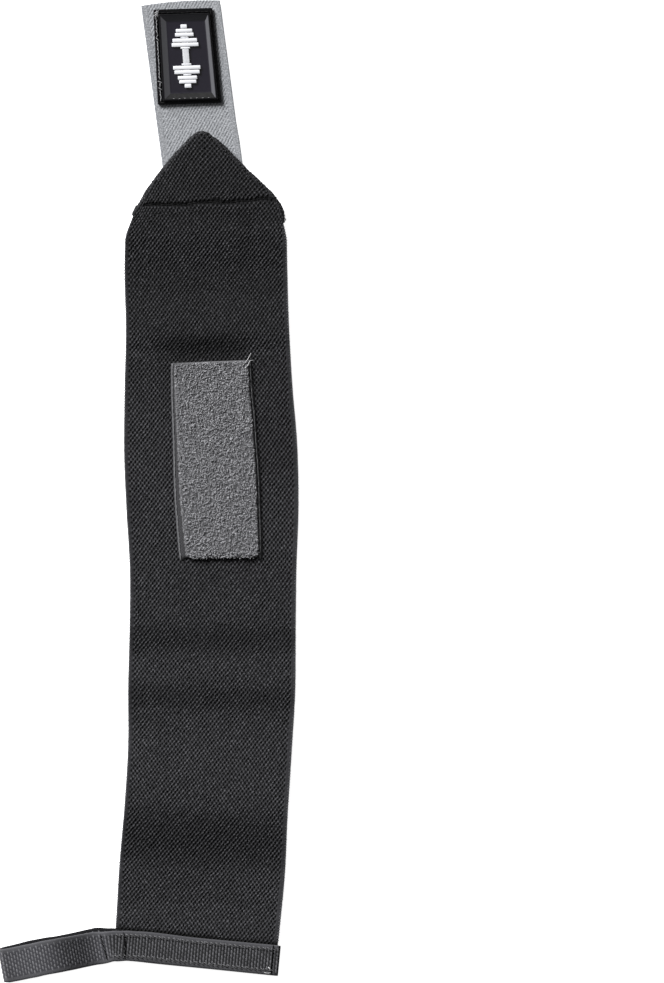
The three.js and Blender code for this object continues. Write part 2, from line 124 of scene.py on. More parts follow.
# %% Helpers for materials
def linear(hex_colour):
    """An sRGB hex colour as linear RGBA."""
    shares = [int(hex_colour[k:k + 2], 16) / 255 for k in (1, 3, 5)]
    return (*[s / 12.92 if s <= 0.04045 else ((s + 0.055) / 1.055) ** 2.4 for s in shares], 1.0)


def add_node(material, kind, inputs=None, **settings):
    """Adds a node; each input is a value or the output of another node."""
    node = material.node_tree.nodes.new(kind)
    for name, value in settings.items():
        setattr(node, name, value)
    for socket, value in (inputs or {}).items():
        if isinstance(value, bpy.types.NodeSocket):
            material.node_tree.links.new(value, node.inputs[socket])
        else:
            node.inputs[socket].default_value = value
    return node


def start_material(name, **inputs):
    """A material with one principled shader, and that shader."""
    material = bpy.data.materials.new(name)
    material.use_nodes = True
    shader = material.node_tree.nodes["Principled BSDF"]
    for socket, value in inputs.items():
        shader.inputs[socket.replace("_", " ")].default_value = value
    return material, shader


def join(material, output, node, socket):
    material.node_tree.links.new(output, node.inputs[socket])


print("badge black in linear light:", [round(c, 4) for c in linear("#1b1b1e")[:3]])

# %% [markdown]
# The shapes are worked out in millimetres on the strip itself: x across it, y along it from its
# raw end, z up from the table. `make_piece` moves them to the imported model's frame, in metres.
# A smoothed surface that has hard corners gets them by angle.

# %% Helpers for meshes
MM = 0.001
STRIP_PLACE = np.array([22.408, -228.305, 0.0])


def make_piece(name, points, faces, marks=None, sharp=None, flat=None, tone=None):
    """A mesh object from points in millimetres; marks are one UV pair for each point, tone one value of
    painted light and shade.
    """
    mesh = bpy.data.meshes.new(name)
    placed = (np.asarray(points, float) + STRIP_PLACE) * MM
    mesh.from_pydata(placed.tolist(), [], [list(face) for face in faces])
    if marks is not None:
        corners = np.zeros(len(mesh.loops), np.int32)
        mesh.loops.foreach_get("vertex_index", corners)
        layer = mesh.uv_layers.new(name="Cloth")
        layer.data.foreach_set("uv", np.asarray(marks, np.float32)[corners].ravel())
    if tone is not None:
        mesh.attributes.new("tone", "FLOAT", "POINT").data.foreach_set("value", np.asarray(tone, np.float32))
    mesh.shade_smooth()
    if flat is not None:
        mesh.polygons.foreach_set("use_smooth", ~flat)
    if sharp is not None:
        mesh.set_sharp_from_angle(angle=math.radians(sharp))
    piece = bpy.data.objects.new(name, mesh)
    bpy.context.scene.collection.objects.link(piece)
    return piece


def dress(piece, material, node=None):
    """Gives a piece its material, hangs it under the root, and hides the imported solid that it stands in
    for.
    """
    piece.data.materials.append(material)
    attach(piece, "root")
    if node:
        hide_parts(node)
    faces = sum(len(face.vertices) - 2 for face in piece.data.polygons)
    print(piece.name, "has", faces, "triangles")
    return piece


def unit(vectors):
    return vectors / np.maximum(np.linalg.norm(vectors, axis=-1, keepdims=True), 1e-9)


def ease(value):
    """From 0 to 1 with a level start and end."""
    share = np.clip(value, 0.0, 1.0)
    return share * share * (3 - 2 * share)


def eased(rows, at):
    """Reads a table of (place, value), eased from row to row."""
    places, values = np.array(rows, float).T
    k = np.clip(np.searchsorted(places, at), 1, len(places) - 1)
    share = (at - places[k - 1]) / (places[k] - places[k - 1])
    return values[k - 1] + (values[k] - values[k - 1]) * ease(share)


# %% [markdown]
# A sheet of cloth is a grid of points on its middle surface. This function gives it its two faces,
# half the thickness away along the normal, and closes them round the border with a rounded rim.
# `relief` raises or sinks the upper face, which is how a weave or a seam gets into the mesh.

# %% Make a sheet from a grid
def split_quads(index, height):
    """Two triangles for each cell of a grid, cut along the diagonal that stands higher."""
    a, b, c, d = (part.ravel() for part in (index[:-1, :-1], index[:-1, 1:], index[1:, 1:], index[1:, :-1]))
    rising = (height[a] + height[c] >= height[b] + height[d])[:, None]
    first = np.where(rising, np.stack([a, b, c], 1), np.stack([a, b, d], 1))
    second = np.where(rising, np.stack([a, c, d], 1), np.stack([b, c, d], 1))
    faces = np.concatenate([first, second])
    whole = (faces[:, 0] != faces[:, 1]) & (faces[:, 1] != faces[:, 2]) & (faces[:, 2] != faces[:, 0])
    return faces[whole]


def thick_sheet(middle, normals, index, thickness, relief=0.0, under=0.0, rim=0.35):
    """The points and triangles of a closed sheet, its border, and which faces are its two sides."""
    relief = np.broadcast_to(relief, len(middle))
    under = np.broadcast_to(under, len(middle))
    upper = middle + normals * (thickness / 2 + relief)[:, None]
    lower = middle - normals * (thickness / 2 + under)[:, None]
    border = np.concatenate([index[0, :-1], index[:-1, -1], index[-1, :0:-1], index[:0:-1, 0]])
    inside = np.concatenate([index[1, :-1], index[:-1, -2], index[-2, :0:-1], index[:0:-1, 1]])
    inside[0], inside[index.shape[1] - 1] = index[1, 1], index[1, -2]
    new = border != np.roll(border, 1)
    border, inside = border[new], inside[new]
    edge = middle[border] + unit(middle[border] - middle[inside]) * rim
    low = len(middle)
    ring = 2 * low + np.arange(len(border))
    after, following = np.roll(ring, -1), np.roll(border, -1)
    faces = [split_quads(index, relief), split_quads(index, under)[:, ::-1] + low]
    sides = sum(len(part) for part in faces)
    for a, b, c, d in ((border + low, following + low, after, ring), (ring, after, following, border)):
        faces += [np.stack([a, b, c], 1), np.stack([a, c, d], 1)]
    faces = np.concatenate(faces)
    return np.concatenate([upper, lower, edge]), faces, border, np.arange(len(faces)) < sides


def grid_sheet(grid, thickness, relief=0.0, under=0.0, rim=0.35):
    """The same for a plain grid of points, which gives its own normals."""
    above = np.concatenate([grid[1:], grid[-1:]]) - np.concatenate([grid[:1], grid[:-1]])
    right = np.concatenate([grid[:, 1:], grid[:, -1:]], 1) - np.concatenate([grid[:, :1], grid[:, :-1]], 1)
    normals = unit(np.cross(right, above))
    index = np.arange(grid.shape[0] * grid.shape[1]).reshape(grid.shape[:2])
    relief = np.broadcast_to(relief, grid.shape[:2]).ravel()
    under = np.broadcast_to(under, grid.shape[:2]).ravel()
    return thick_sheet(grid.reshape(-1, 3), normals.reshape(-1, 3), index, thickness, relief, under, rim)


def sheet_marks(cloth, border):
    """The cloth's own coordinates for both faces and the rim of a sheet."""
    flat = cloth.reshape(-1, 2)
    return np.concatenate([flat, flat, flat[border]])


# %% [markdown]
# Threads, hooks and pile loops are small tubes, and there are thousands of them. One is made round
# a path, and `scatter` copies it to many places at once, each with its own directions and size,
# as one joined mesh. A `grain` is the cheapest of them: a short float of yarn with eight triangles.
# The random numbers are seeded, so every run gives the same cloth.

# %% Make small parts and scatter them
random = np.random.default_rng(7)


def tube(path, radius, sides=3):
    """The points and triangles of a thin tube along a path that lies in the y-z plane or near it."""
    path = np.asarray(path, float)
    ahead = unit(np.gradient(path, axis=0))
    side = np.broadcast_to([1.0, 0.0, 0.0], path.shape)
    other = unit(np.cross(ahead, side))
    side = unit(np.cross(other, ahead))
    turns = np.arange(sides) * 2 * math.pi / sides
    radii = np.broadcast_to(radius, len(path))[:, None, None]
    rings = path[:, None] + radii * (
        np.cos(turns)[None, :, None] * side[:, None] + np.sin(turns)[None, :, None] * other[:, None]
    )
    start = np.arange(len(path) - 1)[:, None] * sides
    k = np.arange(sides)[None]
    a, b = start + k, start + (k + 1) % sides
    quads = np.stack([a, b, b + sides, a + sides], -1).reshape(-1, 4)
    return rings.reshape(-1, 3), np.concatenate([quads[:, [0, 1, 2]], quads[:, [0, 2, 3]]])


GRAIN = (
    np.array([
        [0, -0.5, 0], [-0.5, -0.22, 0], [0, -0.24, 1], [0.5, -0.22, 0],
        [-0.5, 0.22, 0], [0, 0.24, 1], [0.5, 0.22, 0], [0, 0.5, 0],
    ]),
    np.array([
        [0, 2, 1], [0, 3, 2], [1, 2, 5], [1, 5, 4], [2, 3, 6], [2, 6, 5], [4, 5, 7], [5, 6, 7],
    ]),
)


def scatter(part, places, across, along, up, sizes):
    """Copies a part to many places; sizes are its three scales at each place."""
    points, faces = part
    sizes = np.broadcast_to(sizes, (len(places), 3))
    moved = np.asarray(places, float)[:, None]
    for k, way in enumerate((across, along, up)):
        way = np.broadcast_to(way, (len(places), 3))
        moved = moved + points[None, :, k, None] * sizes[:, None, k, None] * way[:, None]
    steps = (np.arange(len(places)) * len(points))[:, None, None]
    return moved.reshape(-1, 3), (faces[None] + steps).reshape(-1, faces.shape[1])


def uneven_sizes(count, *scales):
    """Width, length and height for each of many copies, from three pairs of a mean and a spread."""
    return np.stack([
        random.normal(mean, spread, count) if spread else np.full(count, mean) for mean, spread in scales
    ], 1)


def scattered_marks(part, tints):
    """For each copy its tint, and for each of its points how high it stands in the part."""
    height = part[0][:, 2] - part[0][:, 2].min()
    height = height / height.max()
    return np.stack([np.repeat(tints, len(height)), np.tile(height, len(tints))], 1)


def merge(parts):
    """Several (points, faces) as one."""
    points, faces, count = [], [], 0
    for some, shapes in parts:
        points.append(some)
        faces.append(np.asarray(shapes) + count)
        count += len(some)
    return np.concatenate(points), np.concatenate(faces)


STITCH = tube(
    [[0, -0.5, -0.5], [0, -0.38, 0.25], [0, -0.13, 0.5], [0, 0.13, 0.5], [0, 0.38, 0.25], [0, 0.5, -0.5]],
    0.5, 6,
)
print("a grain has", len(GRAIN[1]), "triangles and a stitch", len(STITCH[1]))

# %% [markdown]
# ## The line that the strip lies on
# The strip wanders a little to the side, is pulled wider round the patch and lifts off the table
# in soft waves. These are the same tables that drive the solid, so that the cloth made here lies
# exactly where the solid does.

# %% The strip as it lies
BAND_LENGTH = 403.5
ELASTIC_WIDTH = 80.0
ELASTIC_THICKNESS = 1.8
SEWN_GAP = 0.3
HALF = ELASTIC_WIDTH / 2
PATCH_ALONG = 0.605 * BAND_LENGTH
PATCH_LENGTH = 94.5
TAB_THICKNESS = 2.0
WEBBING_THICKNESS = 1.3
FOLD_RADIUS = (ELASTIC_THICKNESS + SEWN_GAP) / 2
FOLD_CREST = BAND_LENGTH - FOLD_RADIUS - ELASTIC_THICKNESS / 2
SHOULDER = FOLD_CREST - 1.05 * HALF - 3.0
SEAM_ALONG = BAND_LENGTH - 0.86 * HALF
TIP_SEAT = TAB_THICKNESS + 2 * SEWN_GAP + ELASTIC_THICKNESS
END_SEAT = WEBBING_THICKNESS + SEWN_GAP
PATCH_FLAT, PATCH_EASE = 3.0, 11.0
WEBBING_OVERLAP = 12.6
END_SETTLE, TIP_SETTLE = 16.0, 24.0
FLAP_MIDDLE = TAB_THICKNESS + SEWN_GAP + ELASTIC_THICKNESS / 2

BAND_SECTIONS = np.array([
    (0, 0, 0.996), (0.057, 0.024, 1.011), (0.111, 0.045, 1.021), (0.183, 0.07, 1.006),
    (0.255, 0.092, 1.008), (0.327, 0.103, 1.029), (0.4, 0.109, 1.023), (0.472, 0.112, 1.026),
    (0.544, 0.108, 1.059), (0.616, 0.097, 1.067), (0.688, 0.084, 1.035), (0.761, 0.078, 1.005),
    (0.833, 0.068, 1.003), (0.869, 0.069, 0.996), (1, 0.066, 0.99),
])
BAND_WAVES = [
    (0, 0), (0.111, 0), (0.185, 1), (0.301, 0.05), (0.333, 0.35), (0.373, 0.1), (0.406, 0.4),
    (0.466, 0.1), (0.605, 0.1), (0.761, 0.5), (0.809, 0.15), (1, 0),
]
WAVE_HEIGHT = 4.0


def spline(at, column):
    """A smooth curve through one column of the strip's table."""
    places, values = BAND_SECTIONS[:, 0], BAND_SECTIONS[:, column]
    last = len(places) - 1
    at = np.clip(at, 0.0, 1.0)
    k = np.clip(np.searchsorted(places, at, side="right"), 1, last)
    before = np.where(k > 1, k - 2, k)
    beyond = np.where(k < last, np.minimum(k + 1, last), k - 1)
    t0, t1 = places[k - 1], places[k]
    wp = 0.5 * (t1 - t0) / (t0 - places[before])
    wn = 0.5 * (t1 - t0) / (places[beyond] - t1)
    p = (at - t0) / (t1 - t0)
    return (
        (-wp * p**3 + 2 * wp * p**2 - wp * p) * values[before]
        + ((1 + wp) * p**3 + (-1.5 - 2 * wp) * p**2 + (wp - 0.5) * p + 1) * values[k - 1]
        + ((-1 - wn) * p**3 + (1.5 + wn) * p**2 + 0.5 * p) * values[k]
        + (wn * p**3 - wn * p**2) * values[beyond]
    )


def strip_centre(along):
    return spline(np.asarray(along) / BAND_LENGTH, 1) * ELASTIC_WIDTH


def strip_half(along):
    return spline(np.asarray(along) / BAND_LENGTH, 2) * HALF


def strip_heading(along):
    """The way the strip runs, as unit x and y."""
    lean = strip_centre(np.asarray(along) + 1.0) - strip_centre(np.asarray(along) - 1.0)
    length = np.hypot(lean, 2.0)
    return lean / length, 2.0 / length


def strip_lift(along):
    """How far the underside of the face layer stands off the table."""
    wave = eased(BAND_WAVES, along / BAND_LENGTH)
    clear = ease((np.abs(along - PATCH_ALONG) - PATCH_LENGTH / 2 - PATCH_FLAT) / PATCH_EASE)
    on_webbing = 1 - ease((along - WEBBING_OVERLAP - SEWN_GAP) / END_SETTLE)
    on_tab = ease((along - SHOULDER + TIP_SETTLE) / TIP_SETTLE)
    free = clear * (1 - on_webbing) * (1 - on_tab)
    return WAVE_HEIGHT * wave * free + END_SEAT * on_webbing + TIP_SEAT * on_tab


def strip_point(along, across):
    """A point of the strip's middle surface, by its place along and across."""
    along, across = np.broadcast_arrays(np.asarray(along, float), np.asarray(across, float))
    kept = np.minimum(along, BAND_LENGTH)
    way_x, way_y = strip_heading(kept)
    height = strip_lift(along) + ELASTIC_THICKNESS / 2
    return np.stack([strip_centre(kept) + way_y * across, along - way_x * across, height], -1)


highest_wave = float(strip_lift(np.arange(SHOULDER)).max())
print("shoulder at", round(SHOULDER, 2), "mm, highest wave", round(highest_wave, 2), "mm")

# %% [markdown]
# The end of the strip is turned under on a curve that runs from one shoulder over the point to the
# other. A centripetal Catmull-Rom spline runs through the same few points as in the solid, and is
# then read as a dense line: how far up it is, which way is out, and how far it is from the point.

# %% The line of the fold
FOLD_LINE = np.array([
    (-29.5, 361.9), (-28.2, 364.2), (-25.7, 367.0), (-21.8, 373.6), (-15.9, 381.7), (-9.7, 389.4),
    (-2.9, 396.7), (-0.1, 399.4), (1.9, 400.8), (3.4, 401.1), (4.9, 400.9), (7.1, 399.6), (12.2, 395.6),
    (20.3, 387.3), (29.2, 378.8), (36.3, 372.0), (41.1, 364.8), (42.2, 361.2), (42.7, 358.6),
])


def smooth_line(points, steps=40):
    """A centripetal Catmull-Rom curve through some points."""
    padded = np.concatenate([[2 * points[0] - points[1]], points, [2 * points[-1] - points[-2]]])
    gaps = np.sqrt(np.linalg.norm(np.diff(padded, axis=0), axis=1))
    line = []
    for k in range(1, len(padded) - 2):
        p0, p1, p2, p3 = padded[k - 1:k + 3]
        d0, d1, d2 = gaps[k - 1:k + 2]
        m1 = ((p1 - p0) / d0 - (p2 - p0) / (d0 + d1) + (p2 - p1) / d1) * d1
        m2 = ((p2 - p1) / d1 - (p3 - p1) / (d1 + d2) + (p3 - p2) / d2) * d1
        t = np.linspace(0, 1, steps, endpoint=False)[:, None]
        line.append(p1 + m1 * t + (3 * (p2 - p1) - 2 * m1 - m2) * t**2 + (2 * (p1 - p2) + m1 + m2) * t**3)
    return np.concatenate([*line, points[-1:]])


fold_line = smooth_line(FOLD_LINE)
fold_run = np.concatenate([[0], np.cumsum(np.linalg.norm(np.diff(fold_line, axis=0), axis=1))])
fold_way = unit(np.gradient(fold_line, axis=0))
fold_top = fold_run[np.argmax(fold_line[:, 1])]


def fold_at(share):
    """The fold for a column of the strip: its place, the way out, and how much is turned under."""
    side_run = np.where(share < 0, fold_top, fold_run[-1] - fold_top)
    run = fold_top + share * side_run
    place = np.stack([np.interp(run, fold_run, fold_line[:, k]) for k in (0, 1)], -1)
    way = unit(np.stack([np.interp(run, fold_run, fold_way[:, k]) for k in (0, 1)], -1))
    to_shoulder = (1 - np.abs(share)) * side_run
    under = np.minimum(np.abs(share) * side_run, to_shoulder)
    return place, np.stack([-way[..., 1], way[..., 0]], -1), under, to_shoulder


# %% [markdown]
# Every thread that runs along the strip is a column of its mesh. Up to the shoulders the columns
# follow the strip. From there each curves a little and runs straight to its own place on the fold,
# so that the weave keeps its size and is cut off by the fold as real cloth is.

# %% Points on the face
WEAVE_ROW = 1.31
START_ROW = 266
START = START_ROW * WEAVE_ROW
EDGE_INSET = 1.05


def straight_point(share, along):
    return strip_point(along, share * (strip_half(along) - EDGE_INSET))


def column_reach(share):
    """How far along the strip a column meets the fold."""
    place = fold_at(share)[0]
    return START + np.linalg.norm(place - straight_point(share, START)[..., :2], axis=-1)


def face_point(share, along):
    """A point of the face layer's middle surface: share is -1 at the left edge and 1 at the right."""
    share, along = np.broadcast_arrays(np.asarray(share, float), np.asarray(along, float))
    straight = straight_point(share, np.minimum(along, START))
    start = straight_point(share, np.full(share.shape, START))[..., :2]
    end = fold_at(share)[0]
    length = np.linalg.norm(end - start, axis=-1)[..., None]
    t = np.clip((along[..., None] - START) / length, 0, 1)
    first = np.array(strip_heading(START)) * length
    place = (
        (2 * t**3 - 3 * t**2 + 1) * start + (t**3 - 2 * t**2 + t) * first
        + (3 * t**2 - 2 * t**3) * end + (t**3 - t**2) * (end - start)
    )
    closed = np.concatenate([place, strip_lift(place[..., 1:]) + ELASTIC_THICKNESS / 2], -1)
    return np.where(along[..., None] > START, closed, straight)


def face_frame(share, along, above):
    """Points on the strip's face with the directions across it, along it and out of it."""
    middle = face_point(share, along)
    across = unit(face_point(share + 0.005, along) - face_point(share - 0.005, along))
    ahead = unit(face_point(share, along) - face_point(share, along - 0.7))
    up = unit(np.cross(across, ahead))
    lift = np.asarray(ELASTIC_THICKNESS / 2 + above)[..., None]
    return middle + up * lift, across, ahead, up


print("fold line", round(float(fold_run[-1]), 1), "mm long, its top at", fold_line[:, 1].max().round(1))

# %% [markdown]
# ## Painted light and shade on the elastic
# The elastic's colour carries painted light and shade: soft patches painted darker or lighter over
# parts of the strip, and painted shade as a black line along the seam and in the crease beside the
# webbing. This tone is worked out for each point and stored on the meshes.

# %% The tone of the cloth
SEAM_PLACE = (-0.3, 368.0)
SEAM_SLOPE = 0.0485
CREASE_LINE = np.array([(-40, 16.6), (-21.4, 14.8), (-2, 12.7), (17.4, 10.55), (32, 9.4), (42, 8.6)])
CREASE_WIDTH = 1.05
SEAM_CREASE_SHADE = 0.97
PAINTED_SHADES = [
    # x, y, half width, half length, how much painted shade (below zero: painted light)
    (0, 350, 100, 58, 0.2), (5, 297.5, 20, 6.5, 0.5), (0, 299.5, 100, 5, -0.3), (0, 347, 100, 10, -0.35),
    (24, 350, 4, 26, 0.15), (-22, 233, 14, 45, -0.32), (42, 214, 13, 22, -0.3), (0, 97, 100, 92, -0.24),
    (0, 156, 100, 6, 0.12), (0, 128, 100, 6, 0.1), (3, 60, 32, 12, 0.16), (34, 34, 14, 14, -0.12),
    (0, 342, 100, 9, -0.12), (0, 361, 100, 5, 0.08), (-30, 299, 9, 6, -0.4), (36, 301, 12, 6, -0.25),
    (5, 388, 45, 18, 0.07), (0, 26, 100, 16, -0.08),
]


def past_seam(place):
    """How far a place lies beyond the slightly wavering seam."""
    x, y = place[..., 0], place[..., 1]
    wander = 0.3 * np.sin(0.23 * x) + 0.2 * np.sin(0.61 * x + 1.0)
    return y - SEAM_PLACE[1] - SEAM_SLOPE * (x - SEAM_PLACE[0]) - wander


def painted_cloth_shade(place):
    """The painted light and shade on the elastic at each place, as a factor; 1 leaves its own colour."""
    x, y = place[..., 0], place[..., 1]
    tone = np.ones(x.shape)
    # Each row paints a soft patch of shade, or of light where its amount is below zero.
    for middle_x, middle_y, half_x, half_y, darker in PAINTED_SHADES:
        tone *= 1 - darker * np.exp(-((x - middle_x) / half_x) ** 4 - ((y - middle_y) / half_y) ** 4)
    # The seam and the crease beside the webbing get painted shade: black lines.
    seam_width = 1.2 - 0.4 * ease((x - 5.0) / 30.0)
    seam = np.exp(-(past_seam(place) / seam_width) ** 4) * ease((x + 24.0) / 3.0)
    crease = np.exp(-((y - np.interp(x, *CREASE_LINE.T)) / CREASE_WIDTH) ** 4)
    return tone * (1 - SEAM_CREASE_SHADE * seam) * (1 - SEAM_CREASE_SHADE * crease)


middle_tone = painted_cloth_shade(np.column_stack([np.zeros(390), np.arange(10, 400)]))
print("tone down the middle: from", middle_tone.min().round(2), "to", middle_tone.max().round(2))

# %% [markdown]
# ## The elastic strip
# The strip is woven elastic: rubber cores under a mesh of textured polyester. Up close it is a net
# with a dark hole between each four ridges, 41 holes across and 135 along. A cloth simulation would
# iron out its gentle waves, and the real strip keeps its shape, so it is modelled directly. Every
# other point of the grid is a hole, sunk between the four beside it, and each facet of these pits is
# shaded by itself, which gives the cloth its grain. The seam across the point is a sharp groove.

# %% Weave the strip
HOLES_ACROSS = 41
WEAVE_ACROSS = ELASTIC_WIDTH / HOLES_ACROSS
WEAVE_ALONG = 2 * WEAVE_ROW
HOLE_DEPTH = 0.42
SEAM_DEPTH = 0.7
PLAIN_EDGE = 0.955
FOLD_ROWS = 8
FLAP_ROWS = 10


def weave_depth(cloth):
    """How far the face sinks into the holes of the weave, none at the firm edges."""
    wave = np.cos(2 * math.pi * cloth[:, 0] / WEAVE_ACROSS) * np.cos(2 * math.pi * cloth[:, 1] / WEAVE_ALONG)
    return HOLE_DEPTH * np.clip(wave, 0, 1) * (np.abs(cloth[:, 0]) < PLAIN_EDGE * HALF)


columns = 2 * HOLES_ACROSS + 1
shares = np.linspace(-1, 1, columns)
reach = column_reach(shares)
face_rows = START_ROW + int((reach.max() - START) / WEAVE_ROW) + 2
along = np.minimum(np.arange(face_rows)[:, None] * WEAVE_ROW, reach[None])
near_seam = past_seam(face_point(shares[None], along))
on_seam = (np.abs(near_seam) < WEAVE_ROW / 2) & (along < reach - WEAVE_ROW)
along = along - near_seam * on_seam
middle = face_point(shares[None], along)
lift_slope = (strip_lift(along + 0.5) - strip_lift(along - 0.5))[..., None]
way = np.stack([*strip_heading(np.minimum(along, START))], -1)
normals = unit(np.concatenate([-way * lift_slope, np.ones_like(lift_slope)], -1))
cloth = np.stack([np.broadcast_to(shares * HALF, along.shape), along], -1)
seam_relief = -SEAM_DEPTH * on_seam

fold_place, fold_out, turned, to_shoulder = fold_at(shares)
fold_swell = 0.3 + 0.7 * ease(to_shoulder / 6.0)
bend_length = math.pi * FOLD_RADIUS
flap = np.maximum(turned - bend_length, 0.7)
distances = [np.full(columns, bend_length * k / FOLD_ROWS) for k in range(1, FOLD_ROWS + 1)]
distances += [bend_length + flap * k / FLAP_ROWS for k in range(1, FLAP_ROWS + 1)]
fold_parts = []
for distance in distances:
    bend = np.minimum(distance / FOLD_RADIUS, math.pi)
    out = fold_swell * FOLD_RADIUS * np.sin(bend) - np.maximum(distance - bend_length, 0)
    place = fold_place + fold_out * out[:, None]
    height = FLAP_MIDDLE + FOLD_RADIUS * (1 + np.cos(bend))
    facing = np.column_stack([fold_out * np.sin(bend)[:, None], np.cos(bend)])
    flat = np.column_stack([shares * HALF, reach]) + fold_out * distance[:, None]
    fold_parts.append((np.column_stack([place, height]), facing, flat))
middle = np.concatenate([middle, [part[0] for part in fold_parts]])
normals = np.concatenate([normals, [part[1] for part in fold_parts]])
cloth = np.concatenate([cloth, [part[2] for part in fold_parts]])
index = np.arange(middle.shape[0] * columns).reshape(-1, columns)
past_fold = np.arange(face_rows)[:, None] * WEAVE_ROW > reach[None]
last_row = np.argmax(past_fold, axis=0)
index[:face_rows] = np.where(past_fold, last_row * columns + np.arange(columns), index[:face_rows])

cloth = cloth.reshape(-1, 2)
holes = weave_depth(cloth)
holes[(face_rows + FOLD_ROWS) * columns:] = 0
relief = random.normal(0, 0.04, len(cloth)) - holes * random.uniform(0.6, 1.2, len(cloth))
relief[:seam_relief.size] = np.where(on_seam.ravel(), seam_relief.ravel(), relief[:seam_relief.size])
points, faces, border, facets = thick_sheet(
    middle.reshape(-1, 3), normals.reshape(-1, 3), index, ELASTIC_THICKNESS, relief, -0.6 * holes, rim=0.45,
)
woven_band = make_piece(
    "woven_band", points, faces, sheet_marks(cloth, border), flat=facets, tone=painted_cloth_shade(points),
)
print("weave", round(WEAVE_ACROSS, 2), "by", round(WEAVE_ALONG, 2), "mm")

# %% [markdown]
# The ground of the weave is black textured polyester: matt, with a little fuzz that catches light
# at the edges. The holes are drawn from the cloth's own coordinates, which are stored on the mesh
# in millimetres, so that they follow the strip round its fold. Their near-black colour is painted
# shade in the pits.

# %% Finish the ground of the elastic
def stored_marks(material):
    """What is stored on a mesh: the cloth's own coordinates, or a copy's tint and height."""
    marks = add_node(material, "ShaderNodeUVMap", uv_map="Cloth")
    return add_node(material, "ShaderNodeSeparateXYZ", {0: marks.outputs[0]})


def cloth_cells(material, across, along):
    """Cosines of the cloth's two coordinates for a pattern that repeats every across by along mm."""
    parts = stored_marks(material)
    waves = []
    for axis, period in ((0, across), (1, along)):
        turns = add_node(material, "ShaderNodeMath", {0: parts.outputs[axis], 1: 2 * math.pi / period},
                         operation="MULTIPLY")
        wave = add_node(material, "ShaderNodeMath", {0: turns.outputs[0]}, operation="COSINE")
        waves.append(wave.outputs[0])
    return waves, parts


def mottle(material, size_mm, detail=3.0):
    """Soft noise with lumps of about the given size."""
    place = add_node(material, "ShaderNodeTexCoord")
    return add_node(material, "ShaderNodeTexNoise", {
        "Vector": place.outputs["Object"], "Scale": 1 / (size_mm * MM), "Detail": detail,
    }).outputs[0]


def two_tone(material, dark, light, size_mm, detail=3.0):
    """One colour that drifts into another in soft lumps."""
    return add_node(material, "ShaderNodeMix", {
        "Factor": mottle(material, size_mm, detail), 6: linear(dark), 7: linear(light),
    }, data_type="RGBA").outputs[2]


def fine_relief(material, shader, size_mm, strength, depth_mm):
    """Breaks up the light on a surface as fibres, or the grain of a mould, do."""
    relief = add_node(material, "ShaderNodeBump", {
        "Height": mottle(material, size_mm), "Strength": strength, "Distance": depth_mm * MM,
    })
    join(material, relief.outputs["Normal"], shader, "Normal")


def toned(material, colour):
    """A colour times the painted light and shade that is stored on the mesh as its tone."""
    tone = add_node(material, "ShaderNodeAttribute", attribute_name="tone")
    return add_node(material, "ShaderNodeMix", {"Factor": 1.0, 6: colour, 7: tone.outputs["Fac"]},
                    data_type="RGBA", blend_type="MULTIPLY").outputs[2]


elastic, shader = start_material("black_polyester_ground", Roughness=0.92, Specular_IOR_Level=0.12)
waves, parts = cloth_cells(elastic, WEAVE_ACROSS, WEAVE_ALONG)
hole = add_node(elastic, "ShaderNodeMath", {0: waves[0], 1: waves[1]}, operation="MULTIPLY")
edge = add_node(elastic, "ShaderNodeMath", {0: parts.outputs[0]}, operation="ABSOLUTE")
inside_edge = add_node(elastic, "ShaderNodeMath", {0: edge.outputs[0], 1: PLAIN_EDGE * HALF},
                       operation="LESS_THAN")
open_hole = add_node(elastic, "ShaderNodeMath", {0: hole.outputs[0], 1: inside_edge.outputs[0]},
                     operation="MULTIPLY")
uneven = add_node(elastic, "ShaderNodeMapRange", {
    "Value": mottle(elastic, 1.6), "From Min": 0.35, "From Max": 0.65, "To Min": 0.5, "To Max": 1.4,
})
this_hole = add_node(elastic, "ShaderNodeMath", {0: open_hole.outputs[0], 1: uneven.outputs[0]},
                     operation="MULTIPLY")
depth = add_node(elastic, "ShaderNodeMapRange", {"Value": this_hole.outputs[0], "From Max": 0.6})
# The holes are mixed to near black: painted shade in the pits of the weave.
ground = add_node(elastic, "ShaderNodeMix", {
    "Factor": depth.outputs[0], 6: two_tone(elastic, "#1c1c1e", "#2b2b2d", 6.0), 7: linear("#020202"),
}, data_type="RGBA")
# The ground's colour is multiplied by the painted light and shade stored on the mesh.
join(elastic, toned(elastic, ground.outputs[2]), shader, "Base Color")
fine_relief(elastic, shader, 0.5, 0.5, 0.15)
dress(woven_band, elastic, "elastic_band")

# %% [markdown]
# Over the ground lie the floats: short lengths of yarn that run up to the right, one between each
# two holes. Real ones are bundles of crimped filaments, so each gets its own size, lean and tone.
# They are eight triangles each, because there are over ten thousand of them.

# %% Lay the floats of yarn
column_count = columns - 4
row_index, column_index = np.meshgrid(np.arange(face_rows), np.arange(column_count), indexing="ij")
on_ridge = (row_index + column_index) % 2 == 0
float_share = ((column_index + 2) / HOLES_ACROSS - 1)[on_ridge]
float_along = (row_index * WEAVE_ROW)[on_ridge]
float_along = float_along + random.normal(0, 0.13, float_along.shape)
float_share = float_share + random.normal(0, 0.003, float_share.shape)
shown = (float_along < column_reach(float_share) - 0.4) & (float_along > 9.0)
shown &= np.abs(past_seam(face_point(float_share, float_along))) > 0.95
float_share, float_along = float_share[shown], float_along[shown]
place, across, ahead, up = face_frame(float_share, float_along, -0.05)
lean = math.atan2(WEAVE_ALONG, WEAVE_ACROSS) + random.normal(0, 0.22, len(place))
drift = np.sin(0.13 * place[:, 0] + 1.4 * np.sin(0.05 * place[:, 1])) * np.sin(0.08 * place[:, 1] + 0.7)
